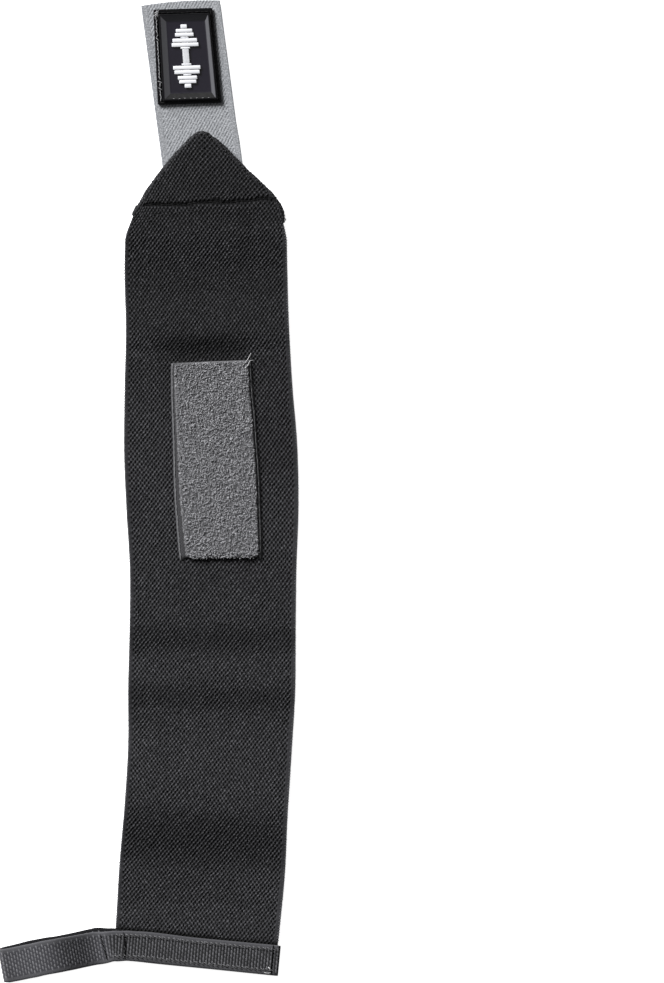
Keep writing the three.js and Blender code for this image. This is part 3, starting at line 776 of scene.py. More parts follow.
crossed = 1.2 * drift + random.normal(0, 0.6, len(place)) > 0.45
lean = np.where(crossed, math.pi - lean, lean)
yarn_way = unit(np.cos(lean)[:, None] * across + np.sin(lean)[:, None] * ahead)
yarn_side = np.cross(yarn_way, up)
grain_size = uneven_sizes(len(place), (0.66, 0.1), (1.25, 0.22), (0.25, 0.06))
float_parts = [scatter(GRAIN, place, yarn_side, yarn_way, up, grain_size)]
print(len(place), "floats of yarn on the face")

fold_places = np.arange(1.0, fold_run[-1] - 1.0, 0.62)
fold_count = len(fold_places)
bend = np.tile([0.25, 0.75, 1.2], fold_count)[:fold_count] + random.normal(0, 0.12, fold_count)
on_line = np.stack([np.interp(fold_places, fold_run, fold_line[:, k]) for k in (0, 1)], -1)
line_way = unit(np.stack([np.interp(fold_places, fold_run, fold_way[:, k]) for k in (0, 1)], -1))
line_out = np.stack([-line_way[:, 1], line_way[:, 0]], -1)
facing = np.column_stack([line_out * np.sin(bend)[:, None], np.cos(bend)])
on_line = on_line + line_out * (FOLD_RADIUS * np.sin(bend))[:, None]
place = np.column_stack([on_line, FLAP_MIDDLE + FOLD_RADIUS * (1 + np.cos(bend))])
place = place + facing * (ELASTIC_THICKNESS / 2 - 0.08)
weave_way = np.array([WEAVE_ACROSS, WEAVE_ALONG, 0]) / math.hypot(WEAVE_ACROSS, WEAVE_ALONG)
yarn_way = weave_way + random.normal(0, 0.15, place.shape)
yarn_way = unit(yarn_way - facing * (yarn_way * facing).sum(1, keepdims=True))
grain_size = uneven_sizes(len(place), (0.6, 0.1), (1.35, 0.2), (0.26, 0.05))
float_parts.append(scatter(GRAIN, place, np.cross(yarn_way, facing), yarn_way, facing, grain_size))
points, faces = merge(float_parts)
tints = random.uniform(0, 1, len(points) // len(GRAIN[0]))
elastic_floats = make_piece(
    "elastic_floats", points, faces, scattered_marks(GRAIN, tints), tone=painted_cloth_shade(points),
)
print(fold_count, "more over the fold")

# %% [markdown]
# Yarn of this kind is never one tone: each thread takes the dye and the wear a little differently.
# Each copy's random tint is stored on the mesh, and the shader mixes it with a soft noise.

# %% Finish the yarn
def yarn_material(name, dark, light, size_mm, with_painted_shade=False, **inputs):
    """Textured yarn whose tone differs from thread to thread and, if asked, carries the painted light and
    shade stored on the mesh.
    """
    material, shader = start_material(name, **inputs)
    parts = stored_marks(material)
    blend = add_node(material, "ShaderNodeMath", {0: parts.outputs[0], 1: 0.6}, operation="MULTIPLY")
    worn = add_node(material, "ShaderNodeMath", {0: mottle(material, size_mm), 1: 0.4, 2: blend.outputs[0]},
                    operation="MULTIPLY_ADD")
    colour = add_node(material, "ShaderNodeMix", {
        "Factor": worn.outputs[0], 6: linear(dark), 7: linear(light),
    }, data_type="RGBA")
    shade = toned(material, colour.outputs[2]) if with_painted_shade else colour.outputs[2]
    join(material, shade, shader, "Base Color")
    fine_relief(material, shader, 0.35, 0.4, 0.1)
    return material


# The floats carry the strip's painted light and shade as well.
black_yarn = yarn_material(
    "black_polyester_yarn", "#161617", "#434346", 5.0, True, Roughness=0.85, Specular_IOR_Level=0.3,
)
dress(elastic_floats, black_yarn)

# %% [markdown]
# The two edges of the strip are firm selvedges. Their threads turn back at the very edge, which
# gives a row of small ribs that one sees against a white table.

# %% Rib the edges
EDGE_PITCH = 1.31
edge_parts, edge_tints = [], []
for side in (-1, 1):
    edge_along = np.arange(13.5, float(column_reach(np.array(side))) - 1.0, EDGE_PITCH)
    place, across, ahead, up = face_frame(np.full(len(edge_along), float(side)), edge_along, -0.4)
    rib_way = unit(across + 0.5 * side * ahead)
    size = uneven_sizes(len(place), (0.78, 0), (1.6, 0.12), (0.62, 0.05))
    edge_parts.append(scatter(GRAIN, place, np.cross(rib_way, up), rib_way, up, size))
    edge_tints.append(random.uniform(0, 1, len(place)))
points, faces = merge(edge_parts)
elastic_edges = make_piece("elastic_edges", points, faces, scattered_marks(GRAIN, np.concatenate(edge_tints)))
# The selvedge yarn is a lighter grey than the face's yarn: painted light on the edge ribs.
edge_yarn_painted_light = yarn_material("black_polyester_selvedge", "#303032", "#6c6c70", 5.0, Roughness=0.85)
dress(elastic_edges, edge_yarn_painted_light)

# %% [markdown]
# ## The hook tab
# Hook tape is a nylon twill with a field of small hooks on its other side. The hooks face the table
# here and the twill shows: fine ridges that climb to the right, 1.3 mm apart, between two plain
# selvedges. The ridges are in the mesh, and the shader adds their finer threads.

# %% Weave the tab
TAB_LENGTH = 99.0
TAB_HALF = 19.0
TAB_BACKING = 0.8
HOOK_HEIGHT = 1.2
TAB_ALLOWANCE = 2.0
TAB_SELVEDGE = 3.0
TWILL_PITCH = 1.32
TWILL_ANGLE = math.radians(54.4)
TWILL_HEIGHT = 0.14
TAB_END_LEAN = math.radians(3.65)
TAB_END_BULGE = 1.0
tab_lean = math.radians(7.6)
tab_origin = np.array([5.7, SEAM_ALONG + 0.1, 0.0])


def turned_by(points, angle, origin):
    """Turns points about the vertical and moves them."""
    c, s = math.cos(angle), math.sin(angle)
    return np.asarray(points, float) @ np.array([[c, s, 0], [-s, c, 0], [0, 0, 1]]) + origin


def tab_end(x):
    """How far the free end of the tab reaches at a place across it: it is cut askew and bulges."""
    bulge = TAB_END_BULGE * (1 - (x / TAB_HALF) ** 2)
    return TAB_LENGTH - TAB_ALLOWANCE - x * math.tan(TAB_END_LEAN) + bulge + 0.13


tab_x = np.linspace(-TAB_HALF + 0.1, TAB_HALF - 0.1, 93)
tab_share = np.linspace(0, 1, 196)
grid = np.stack(np.broadcast_arrays(
    tab_x[None], -TAB_ALLOWANCE + (tab_end(tab_x) + TAB_ALLOWANCE - 0.3)[None] * tab_share[:, None],
    HOOK_HEIGHT + TAB_BACKING / 2,
), -1)
cloth = grid[..., :2].copy()
across_ridges = cloth[..., 0] * math.sin(TWILL_ANGLE) - cloth[..., 1] * math.cos(TWILL_ANGLE)
ridge = np.cos(2 * math.pi * across_ridges / TWILL_PITCH)
in_field = ease((TAB_HALF - TAB_SELVEDGE + 0.5 - np.abs(cloth[..., 0])) / 1.0)
relief = TWILL_HEIGHT * (ridge - 1) / 2 * in_field + random.normal(0, 0.02, ridge.shape)
points, faces, border, _ = grid_sheet(grid, TAB_BACKING, relief, 0.0, rim=0.1)
to_right = np.maximum(points[:, 0], 0) / TAB_HALF
points[:, 0] += to_right * (0.45 + 0.4 * ease((38.0 - points[:, 1]) / 14.0))
points = turned_by(points, tab_lean, tab_origin)
hook_tape = make_piece("hook_tape", points, faces, sheet_marks(cloth, border))
print("tab:", len(tab_x), "by", len(tab_share), "points")

# %% [markdown]
# Undyed nylon tape is a cool light grey with a slight sheen. The grooves between the ridges get
# painted shade, darker than the mesh alone makes them, and pale specks are painted highlights on
# the crowns of single filaments.

# %% Finish the twill
twill, shader = start_material("grey_nylon_twill", Roughness=0.7, Sheen_Weight=0.15, Sheen_Roughness=0.4)
parts = stored_marks(twill)
run_x = add_node(twill, "ShaderNodeMath", {
    0: parts.outputs[0], 1: math.sin(TWILL_ANGLE) * 2 * math.pi / TWILL_PITCH,
}, operation="MULTIPLY")
run = add_node(twill, "ShaderNodeMath", {
    0: parts.outputs[1], 1: -math.cos(TWILL_ANGLE) * 2 * math.pi / TWILL_PITCH, 2: run_x.outputs[0],
}, operation="MULTIPLY_ADD")
line = add_node(twill, "ShaderNodeMath", {0: run.outputs[0]}, operation="COSINE")
side = add_node(twill, "ShaderNodeMath", {0: parts.outputs[0]}, operation="ABSOLUTE")
field = add_node(twill, "ShaderNodeMapRange", {
    "Value": side.outputs[0], "From Min": TAB_HALF - TAB_SELVEDGE - 0.4,
    "From Max": TAB_HALF - TAB_SELVEDGE + 0.4, "To Min": 1.0, "To Max": 0.0,
})
shown = add_node(twill, "ShaderNodeMath", {0: line.outputs[0], 1: field.outputs[0]}, operation="MULTIPLY")
# Painted shade in the grooves between the ridges.
groove = add_node(twill, "ShaderNodeMapRange", {
    "Value": shown.outputs[0], "From Min": -0.9, "From Max": 0.7,
})
thread = add_node(twill, "ShaderNodeMix", {
    "Factor": groove.outputs[0], 6: linear("#515356"), 7: linear("#828488"),
}, data_type="RGBA")
# Painted highlights as pale specks.
speck_highlight = add_node(twill, "ShaderNodeMapRange", {
    "Value": mottle(twill, 0.7), "From Min": 0.44, "From Max": 0.68, "To Max": 0.55,
})
mixed = add_node(twill, "ShaderNodeMix", {
    "Factor": speck_highlight.outputs[0], 6: thread.outputs[2], 7: linear("#b6b8bc"),
}, data_type="RGBA")
join(twill, mixed.outputs[2], shader, "Base Color")
fine_relief(twill, shader, 0.45, 0.5, 0.12)
dress(hook_tape, twill, "hook_tab")

# %% [markdown]
# The hooks are cut loops of stiff monofilament, each a stem that bends over at its tip. They stand
# between the tape and the table in rows, and neighbouring rows lean opposite ways.

# %% Plant the hooks
HOOK = tube([[0, 0, 0], [0, 0.02, -0.5], [0, 0.14, -0.85], [0, 0.36, -0.98], [0, 0.5, -0.8]], 0.11)
HOOK_PITCH = 1.4
HOOK_ROW = 1.7
hook_x, hook_y = np.meshgrid(
    np.arange(-15.2, 15.3, HOOK_PITCH), np.arange(0.5, TAB_LENGTH - 5.0, HOOK_ROW),
)
hook_y = hook_y + 0.4 * np.sin(hook_x)
low_enough = hook_y < tab_end(hook_x) - 1.2
hook_x, hook_y = hook_x[low_enough], hook_y[low_enough]
flip = np.where(np.round(hook_x / HOOK_PITCH).astype(int) % 2 == 0, 1.0, -1.0)[:, None]
spot = np.stack([hook_x, hook_y, np.full(len(hook_x), HOOK_HEIGHT + 0.05)], -1)
lie = np.stack([random.normal(0, 0.25, len(spot)), np.ones(len(spot)), np.zeros(len(spot))], -1)
lie = unit(lie) * flip
points, faces = scatter(HOOK, spot, np.cross(lie, [0, 0, 1]), lie, [0, 0, 1], [1.0, 1.3, 1.18])
hook_field = make_piece("hook_field", turned_by(points, tab_lean, tab_origin), faces)
nylon, shader = start_material("grey_nylon_hooks", Roughness=0.35, IOR=1.53)
join(nylon, two_tone(nylon, "#7f8286", "#9ea1a5", 3.0), shader, "Base Color")
dress(hook_field, nylon)
print(len(spot), "hooks")

# %% [markdown]
# ## The rubber badge
# The badge is moulded from soft PVC: a flat flange that is sewn down, a raised frame, and a bevel
# that falls to a sunk panel. It is built up from rings with rounded corners, each at its own inset
# and height, and two rings close together hold each edge round instead of sharp.

# %% Mould the badge
def ringed(width, length, corner, rings, steps=8):
    """A closed slab from rings of (inset, height), first the one it stands on."""
    loops = []
    for inset, height in rings:
        radius = corner**2 / (corner + inset)
        half_x, half_y = width / 2 - inset - radius, length / 2 - inset - radius
        ring = []
        for sign_x, sign_y, turn in ((1, -1, -0.5), (1, 1, 0.0), (-1, 1, 0.5), (-1, -1, 1.0)):
            angle = (turn + np.arange(steps + 1) / steps / 2) * math.pi
            x = sign_x * half_x + radius * np.cos(angle)
            y = sign_y * half_y + radius * np.sin(angle)
            ring.append(np.stack([x, y, np.full(steps + 1, height)], -1))
        loops.append(np.concatenate(ring))
    count = len(loops[0])
    shapes = [
        [i * count + k, i * count + (k + 1) % count, (i + 1) * count + (k + 1) % count, (i + 1) * count + k]
        for i in range(len(loops) - 1) for k in range(count)
    ]
    top = (len(loops) - 1) * count
    return np.concatenate(loops), shapes, [list(range(count))[::-1], list(range(top, top + count))]


BADGE_WIDTH = 29.5
BADGE_LENGTH = 46.5
PANEL_HEIGHT = 1.4
badge_lean = tab_lean + math.radians(-3.4)
badge_middle = TAB_LENGTH - TAB_ALLOWANCE - 4.0 - BADGE_LENGTH / 2
badge_origin = turned_by([[0, badge_middle, TAB_THICKNESS + SEWN_GAP]], tab_lean, tab_origin)[0]
BADGE_RINGS = [
    (0.15, 0.0), (0, 0.15), (0, 0.85), (0.08, 1.02), (0.3, 1.1), (1.45, 1.1), (1.62, 1.02), (1.75, 0.8),
    (2.3, 0.8), (2.42, 0.95), (2.5, 2.0), (2.6, 2.28), (2.85, 2.4), (3.3, 2.4), (3.55, 2.34), (3.8, 2.24),
    (5.9, 1.56), (6.3, 1.44), (6.8, 1.4),
]
points, shapes, caps = ringed(BADGE_WIDTH, BADGE_LENGTH, 0.75, BADGE_RINGS)
ring_of = np.repeat(np.array(BADGE_RINGS), len(points) // len(BADGE_RINGS), axis=0)
# The moulding is not centred on its flange: it comes nearer to the right edge and the lower one.
ring_inset = ring_of[:, 0]
to_right = 1.0 * ease((ring_inset - 1.3) / 0.8) + ease((ring_inset - 3.6) / 1.8)
points[:, 0] += to_right * (points[:, 0] > 0)
points[:, 1] -= 0.9 * ease((ring_inset - 1.4) / 0.8) * (points[:, 1] < 0)


def sewn_askew(points):
    """Soft as it is, the badge was sewn down a little wider at its lower end, and leans."""
    x, y, z = np.asarray(points, float).T
    askew_x = x * (1 - 0.04 * y / (BADGE_LENGTH / 2)) - 0.6 + 0.02 * np.maximum(x, 0)
    askew = np.column_stack([askew_x, 0.995 * y + 1.0 - 0.042 * x, z])
    return turned_by(askew, badge_lean, badge_origin)


rubber_badge = make_piece("rubber_badge", sewn_askew(points), shapes + caps, ring_of, sharp=50)
print("badge:", len(BADGE_RINGS), "rings of", len(points) // len(BADGE_RINGS), "points")

# %% [markdown]
# Soft PVC is dark and smooth, with a low gloss where fingers have polished the bevels. Each ring's
# inset is stored on the mesh, so the shader knows the flange from the bevel and the panel. The
# bevels are a mottled grey with painted light and shade by the way they face: lighter where they
# face to either side, darker where they face the strip's raw end, nearly black where they face its point.

# %% Finish the rubber
badge_rubber, shader = start_material("black_soft_pvc", IOR=1.5)
parts = stored_marks(badge_rubber)
in_bevel, in_panel = (add_node(badge_rubber, "ShaderNodeMapRange", {
    "Value": parts.outputs[0], "From Min": start, "From Max": start + 0.5,
}) for start in (3.2, 5.9))
normal = add_node(badge_rubber, "ShaderNodeNewGeometry")
facing = add_node(badge_rubber, "ShaderNodeSeparateXYZ", {0: normal.outputs["Normal"]})
bevel_grey_and_facing_shade = two_tone(badge_rubber, "#26262a", "#303035", 7.0)
# Painted light and shade: each bevel is tinted by the way it faces.
for axis, sense, colour in ((0, -1, "#4c4c50"), (0, 1, "#444447"), (1, -1, "#1a1a1d"), (1, 1, "#060607")):
    side = add_node(badge_rubber, "ShaderNodeMapRange", {
        "Value": facing.outputs[axis], "From Min": 0.1 * sense, "From Max": 0.25 * sense,
    })
    bevel_grey_and_facing_shade = add_node(badge_rubber, "ShaderNodeMix", {
        "Factor": side.outputs[0], 6: bevel_grey_and_facing_shade, 7: linear(colour),
    }, data_type="RGBA").outputs[2]
raised = add_node(badge_rubber, "ShaderNodeMix", {
    "Factor": in_bevel.outputs[0], 6: linear("#09090b"), 7: bevel_grey_and_facing_shade,
}, data_type="RGBA")
gleam = add_node(badge_rubber, "ShaderNodeMapRange", {
    "Value": in_bevel.outputs[0], "To Min": 0.12, "To Max": 0.45,
})
join(badge_rubber, gleam.outputs[0], shader, "Specular IOR Level")
sunk = add_node(badge_rubber, "ShaderNodeMix", {
    "Factor": in_panel.outputs[0], 6: raised.outputs[2], 7: linear("#0e0b17"),
}, data_type="RGBA")
join(badge_rubber, sunk.outputs[2], shader, "Base Color")
gloss = add_node(badge_rubber, "ShaderNodeMapRange", {
    "Value": mottle(badge_rubber, 1.2), "To Min": 0.28, "To Max": 0.42,
})
join(badge_rubber, gloss.outputs[0], shader, "Roughness")
fine_relief(badge_rubber, shader, 0.4, 0.25, 0.05)
dress(rubber_badge, badge_rubber, "badge")

# %% [markdown]
# A plain barbell stands on the panel in white rubber. It is made of rounded blocks, as such a
# motif is when it is cut into a mould: sleeves, plates with a fine gap between them, collars, and a
# bar with rings of knurling. Each block's edges are rounded by two close rings.

# %% Raise the barbell
MOTIF_LENGTH = 31.0
MOTIF_WIDTH = 13.0
MOTIF_TOP = 2.3
motif_blocks = [
    (0.0, 0.062, 0.24), (0.07, 0.125, 0.62), (0.132, 0.19, 0.7), (0.196, 0.214, 0.3),
    (0.22, 0.281, 0.92), (0.289, 0.35, 1.0), (0.356, 0.385, 0.36),
]
motif_blocks += [(1 - to, 1 - start, reach) for start, to, reach in motif_blocks]
motif_blocks += [(0.385 + 0.23 * k / 14, 0.385 + 0.23 * (k + 0.82) / 14, 0.24) for k in range(14)]
slabs = []
for start, to, reach in motif_blocks:
    width, length = reach * MOTIF_WIDTH, (to - start) * MOTIF_LENGTH
    corner = min(0.35, 0.4 * min(width, length))
    soft = min(0.18, 0.2 * length)
    rings = [
        (0, PANEL_HEIGHT - 0.1), (0, MOTIF_TOP - soft), (0.35 * soft, MOTIF_TOP - 0.3 * soft),
        (soft, MOTIF_TOP),
    ]
    points, shapes, caps = ringed(width, length, corner, rings, 3)
    slabs.append((points + [0, ((start + to) / 2 - 0.5) * MOTIF_LENGTH, 0], shapes + caps))
# A low core runs under the blocks from end to end and joins them, so it shows in their gaps.
core_rings = [(0, 1.3), (0, 1.95), (0.15, 2.05)]
points, shapes, caps = ringed(0.2 * MOTIF_WIDTH, 0.98 * MOTIF_LENGTH, 0.4, core_rings, 3)
slabs.append((points, shapes + caps))
motif_points, motif_faces, count = [], [], 0
for points, shapes in slabs:
    motif_points.append(points)
    motif_faces += [[k + count for k in face] for face in shapes]
    count += len(points)
barbell = make_piece("barbell_motif", sewn_askew(np.concatenate(motif_points)), motif_faces, sharp=40)
white_rubber, shader = start_material("white_soft_pvc", Roughness=0.42)
join(white_rubber, two_tone(white_rubber, "#c0c1c5", "#cfd0d3", 2.5), shader, "Base Color")
dress(barbell, white_rubber, "badge_motif")

# %% [markdown]
# The badge is sewn down in the groove of its flange. `stitch_row` lays stitches end to end along a
# line on any surface: each one rises out of a needle hole, runs a few millimetres and dips again.
# The thread is black, but down the left side a pale one shows, which ends in a knot at the corner,
# and specks of it come up along the foot of the bevel.

# %% Sew the badge on
def stitch_row(start, end, pitch, thick, length=0.78, stray=0.04):
    """Stitches along a straight line, as (points, faces), with the count."""
    start, end = np.asarray(start, float), np.asarray(end, float)
    run = np.linalg.norm(end - start)
    count = max(1, int(round(run / pitch)))
    middle = start + (end - start) * ((np.arange(count) + 0.5) / count)[:, None]
    middle = middle + random.normal(0, 0.05, middle.shape) * [1, 1, 0]
    way = unit((end - start) + random.normal(0, stray * run, (count, 3)) * [1, 1, 0])
    up = np.array([0, 0, 1.0])
    side = np.cross(way, up)
    sizes = uneven_sizes(count, (thick, 0), (length * run / count, 0.06), (thick, 0))
    return scatter(STITCH, middle, side, way, up, sizes), count


def thread_material(name, dark, light, shine=0.5):
    """Sewing thread: smooth twisted polyester, with its twist too fine to draw."""
    material, shader = start_material(name, Roughness=0.5, Sheen_Weight=0.2 * shine, Specular_IOR_Level=shine)
    join(material, two_tone(material, dark, light, 1.5), shader, "Base Color")
    fine_relief(material, shader, 0.2, 0.4, 0.05)
    return material


charcoal_thread = thread_material("charcoal_polyester_thread", "#2a2a2c", "#505052")
black_thread = thread_material("black_polyester_thread", "#070708", "#131314", 0.1)
grey_thread = thread_material("grey_polyester_thread", "#3c3c3e", "#6c6c6e")
pale_thread = thread_material("pale_polyester_thread", "#444446", "#9a9a9c")
light_thread = thread_material("undyed_thread", "#8f8f90", "#c4c4c5")

GROOVE_INSET = 1.75
seam_x, seam_y = BADGE_WIDTH / 2 - GROOVE_INSET, BADGE_LENGTH / 2 - GROOVE_INSET
pale_x = -BADGE_WIDTH / 2 + 1.3
right_x, low_y = seam_x + 0.8, seam_y + 0.75
black_rows = [((-seam_x, -low_y), (right_x, -low_y)), ((right_x, -low_y), (right_x, seam_y)),
              ((right_x, seam_y), (-seam_x, seam_y)), ((-seam_x, seam_y), (-seam_x, -low_y))]
black_parts = [stitch_row((*start, 1.0), (*end, 1.0), 2.5, 0.42)[0] for start, end in black_rows]
pale_parts = [
    stitch_row((pale_x, seam_y, 1.15), (pale_x + 0.3, -seam_y, 1.15), 1.7, 0.38, 0.7, 0.35)[0],
    stitch_row((-8.5, -20.6, 2.4), (10.5, -20.6, 2.4), 2.7, 0.24, 0.18)[0],
]
KNOT = [
    (-14.0, 21.6, -12.4, 22.3), (-14.2, 20.3, -12.6, 21.4), (-13.9, 19.4, -13.0, 20.8),
    (-12.9, 21.9, -12.6, 20.0),
]
for x0, y0, x1, y1 in KNOT:
    pale_parts.append(stitch_row((x0, y0, 1.2), (x1, y1, 1.25), 2.0, 0.5, 0.95)[0])
for name, thread, rows in (("dark", black_thread, black_parts), ("pale", pale_thread, pale_parts)):
    points, faces = merge(rows)
    dress(make_piece(f"badge_stitches_{name}", sewn_askew(points), faces), thread)

# %% [markdown]
# ## The loop patch
# Loop tape is what the hooks grip: a woven backing with a brushed pile of fine nylon loops. The
# backing shows at the two long edges as a dark, open selvedge. The pile is a bed with an uneven top
# and thousands of small arches standing in it, each turned and tilted at random.

# %% Weave the patch's backing
PATCH_WIDTH = 40.0
PATCH_BACKING = 0.7
PATCH_SELVEDGE = 1.8
CUT_BACK = 1.25
PATCH_OUTLINE = np.array([
    # along the strip, left edge, right edge
    (193.8, -7.0, 32.6), (199.6, -7.8, 32.6), (210.4, -8.7, 32.5), (221.1, -9.6, 32.1), (231.9, -10.1, 31.8),
    (242.7, -10.4, 31.2), (253.5, -10.6, 30.3), (264.3, -11.0, 29.6), (275.0, -11.4, 28.5),
    (285.8, -11.5, 27.8), (291.4, -11.4, 27.5),
])


def laid_patch(points):
    """Moves points from the patch as it was cut, a plain oblong, to where it lies on the strip."""
    share_x, share_y = np.asarray(points, float)[:, :2].T / [[PATCH_WIDTH / 2], [PATCH_LENGTH / 2]]
    low, high = 194.9 + 0.3 * share_x, 291.3 + 0.8 * share_x
    along = low + (high - low) * (share_y + 1) / 2
    left, right = (np.interp(along, PATCH_OUTLINE[:, 0], PATCH_OUTLINE[:, k]) for k in (1, 2))
    height = np.asarray(points, float)[:, 2] + ELASTIC_THICKNESS + SEWN_GAP
    return np.column_stack([left + (right - left) * (share_x + 1) / 2, along, height])


back_x = np.linspace(-PATCH_WIDTH / 2 + 0.25, PATCH_WIDTH / 2 - 0.25, 61)
back_y = np.linspace(-PATCH_LENGTH / 2 + 0.25, PATCH_LENGTH / 2 - 0.25, 141)
under_pile = ease((PATCH_WIDTH / 2 - PATCH_SELVEDGE + 0.3 - np.abs(back_x)) / 0.4)
low_end = back_y[0] + CUT_BACK * under_pile
in_selvedge = ease((np.abs(back_x) - PATCH_WIDTH / 2 + PATCH_SELVEDGE) / PATCH_SELVEDGE)
high = PATCH_BACKING / 2 - 0.1 - 0.4 * in_selvedge
pressed = 0.45 * (1 - ease((back_y - back_y[0]) / 2.5))
grid = np.stack(np.broadcast_arrays(
    back_x[None], np.maximum(back_y[:, None], low_end[None]), high[None] - pressed[:, None],
), -1)
cloth = grid[..., :2].copy()
mesh_hole = np.cos(math.pi * np.arange(61))[None] * np.cos(math.pi * np.arange(141))[:, None]
relief = -0.1 * np.clip(mesh_hole, 0, 1)
points, faces, border, _ = grid_sheet(grid, PATCH_BACKING, relief, 0.0, rim=0.25)
patch_backing = make_piece("patch_backing", laid_patch(points), faces, sheet_marks(cloth, border))
tape, shader = start_material("grey_woven_tape", Roughness=0.85, Sheen_Weight=0.1)
waves, parts = cloth_cells(tape, 1.3, 1.35)
hole = add_node(tape, "ShaderNodeMath", {0: waves[0], 1: waves[1]}, operation="MULTIPLY")
opened = add_node(tape, "ShaderNodeMapRange", {"Value": hole.outputs[0], "From Max": 0.8})
net = add_node(tape, "ShaderNodeMix", {
    "Factor": opened.outputs[0], 6: linear("#2d2d30"), 7: linear("#0e0e0f"),
}, data_type="RGBA")
aside = add_node(tape, "ShaderNodeMath", {0: parts.outputs[0]}, operation="ABSOLUTE")
at_edge = add_node(tape, "ShaderNodeMapRange", {
    "Value": aside.outputs[0], "From Min": PATCH_WIDTH / 2 - 0.9, "From Max": PATCH_WIDTH / 2 - 0.6,
})
edged = add_node(tape, "ShaderNodeMix", {
    "Factor": at_edge.outputs[0], 6: net.outputs[2], 7: linear("#3e3e41"),
}, data_type="RGBA")
join(tape, edged.outputs[2], shader, "Base Color")
dress(patch_backing, tape, "loop_patch")

# %% [markdown]
# The bed of the pile stands for the loops that are matted down. It keeps inside the selvedges, is
# rounded at its corners, and its top is lumpy. It stands lower at the end where the tape was cut.

# %% Raise the bed of the pile
bed_x = np.linspace(-PATCH_WIDTH / 2 + PATCH_SELVEDGE, PATCH_WIDTH / 2 - PATCH_SELVEDGE, 81)
bed_y = np.linspace(-PATCH_LENGTH / 2 + CUT_BACK, PATCH_LENGTH / 2 - 0.3, 201)
grid = np.stack(np.broadcast_arrays(bed_x[None], bed_y[:, None], 0.95), -1).copy()
PILE_CORNER = 1.8
LEFT_MARGIN = np.array([(-47, 2.0), (-30, 1.35), (-1, 0.75), (46, 0.1)])
END_DROP = 0.5


def trimmed(x, y):
    """Draws the pile in at its rounded corners and, more and more toward the low end, on its left."""
    to_end = np.clip(np.minimum(y - bed_y[0], bed_y[-1] - y), 0, PILE_CORNER)
    corner = PILE_CORNER - np.sqrt(PILE_CORNER**2 - (PILE_CORNER - to_end) ** 2)
    margin = np.interp(y, LEFT_MARGIN[:, 0], LEFT_MARGIN[:, 1])
    return x * (1 - corner / bed_x[-1]) + margin * (1 - x / bed_x[-1]) / 2


def end_drop(y):
    """How much lower the pile stands toward its low end, where loops hang over the cut."""
    return END_DROP * (1 - ease((y - bed_y[0]) / 1.6)) + 0.6 * np.maximum(bed_y[0] - y, 0)


grid[..., 0] = trimmed(grid[..., 0], grid[..., 1])
ragged = random.normal(0, 0.2, (2, len(bed_y)))
grid[:, 0, 0] += ragged[0]
grid[:, -1, 0] += ragged[1]
grid[..., 2] -= end_drop(bed_y)[:, None]
lumps = random.normal(0, 0.1, grid.shape[:2])
points, faces, border, _ = grid_sheet(grid, 0.9, lumps, 0.0, rim=0.3)
pile_bed = make_piece("pile_bed", laid_patch(points), faces)


pile_ground, shader = start_material(
    "grey_nylon_pile_bed", Roughness=0.75, Sheen_Weight=0.2, Sheen_Roughness=0.4,
)
join(pile_ground, two_tone(pile_ground, "#1e1e20", "#606063", 1.1, 4.0), shader, "Base Color")
fine_relief(pile_ground, shader, 0.4, 0.6, 0.2)
dress(pile_bed, pile_ground)

# %% [markdown]
# Real loop tape has tens of thousands of loops of hair-thin nylon. These are fewer and thicker, so
# that they can be meshes, and stand close enough to cover the bed.

# %% Stand the loops in it
LOOP = tube([[0, -0.5, 0], [0, -0.36, 0.75], [0, 0, 1.0], [0, 0.36, 0.75], [0, 0.5, 0]], 0.13)
LOOP_COUNT = 8200
spot = np.stack([
    random.uniform(-1, 1, LOOP_COUNT) * (bed_x[-1] - 0.2),
    random.uniform(bed_y[0] - 0.45, bed_y[-1] - 0.4, LOOP_COUNT),
    random.normal(1.05, 0.08, LOOP_COUNT),
], -1)
spot[:, 0] = trimmed(spot[:, 0], spot[:, 1])
spot[:, 2] -= end_drop(spot[:, 1])
yaw = random.uniform(0, math.pi, LOOP_COUNT)
way = np.stack([np.cos(yaw), np.sin(yaw), random.normal(0, 0.15, LOOP_COUNT)], -1)
way = unit(way)
tilt_x, tilt_y = random.normal(0, 0.45, LOOP_COUNT), random.normal(0, 0.45, LOOP_COUNT)
tilt = unit(np.stack([tilt_x, tilt_y, np.ones(LOOP_COUNT)], -1))
side = unit(np.cross(way, tilt))
sizes = uneven_sizes(LOOP_COUNT, (1.2, 0), (0.78, 0.18), (0.85, 0.12))
points, faces = scatter(LOOP, spot, side, way, np.cross(side, way), sizes)
# Loops near the low end get lighter tints: painted light against the shade there.
tints = random.uniform(0, 1, LOOP_COUNT) + 0.4 * (1 - ease((spot[:, 1] - bed_y[0]) / 2.5))
pile_loops = make_piece("pile_loops", laid_patch(points), faces, scattered_marks(LOOP, tints))
pile_yarn = yarn_material("grey_nylon_loops", "#464649", "#b8b8bc", 2.0, Roughness=0.7, Sheen_Weight=0.1)
dress(pile_loops, pile_yarn)

# %% [markdown]
# The tape is sewn down along its two selvedges, in grey thread that sinks into them.

# %% Sew the patch on
patch_rows = []
for x in (-PATCH_WIDTH / 2 + 0.7, PATCH_WIDTH / 2 - 0.7):
    row_end = PATCH_LENGTH / 2 - 0.8
    row, count = stitch_row((x, -row_end, 0.34), (x, row_end, 0.34), 2.6, 0.4)
    patch_rows.append(row)
points, faces = merge(patch_rows)
patch_stitches = make_piece("patch_stitches", laid_patch(points), faces)
dress(patch_stitches, grey_thread)
print(count, "stitches on each side of the patch")

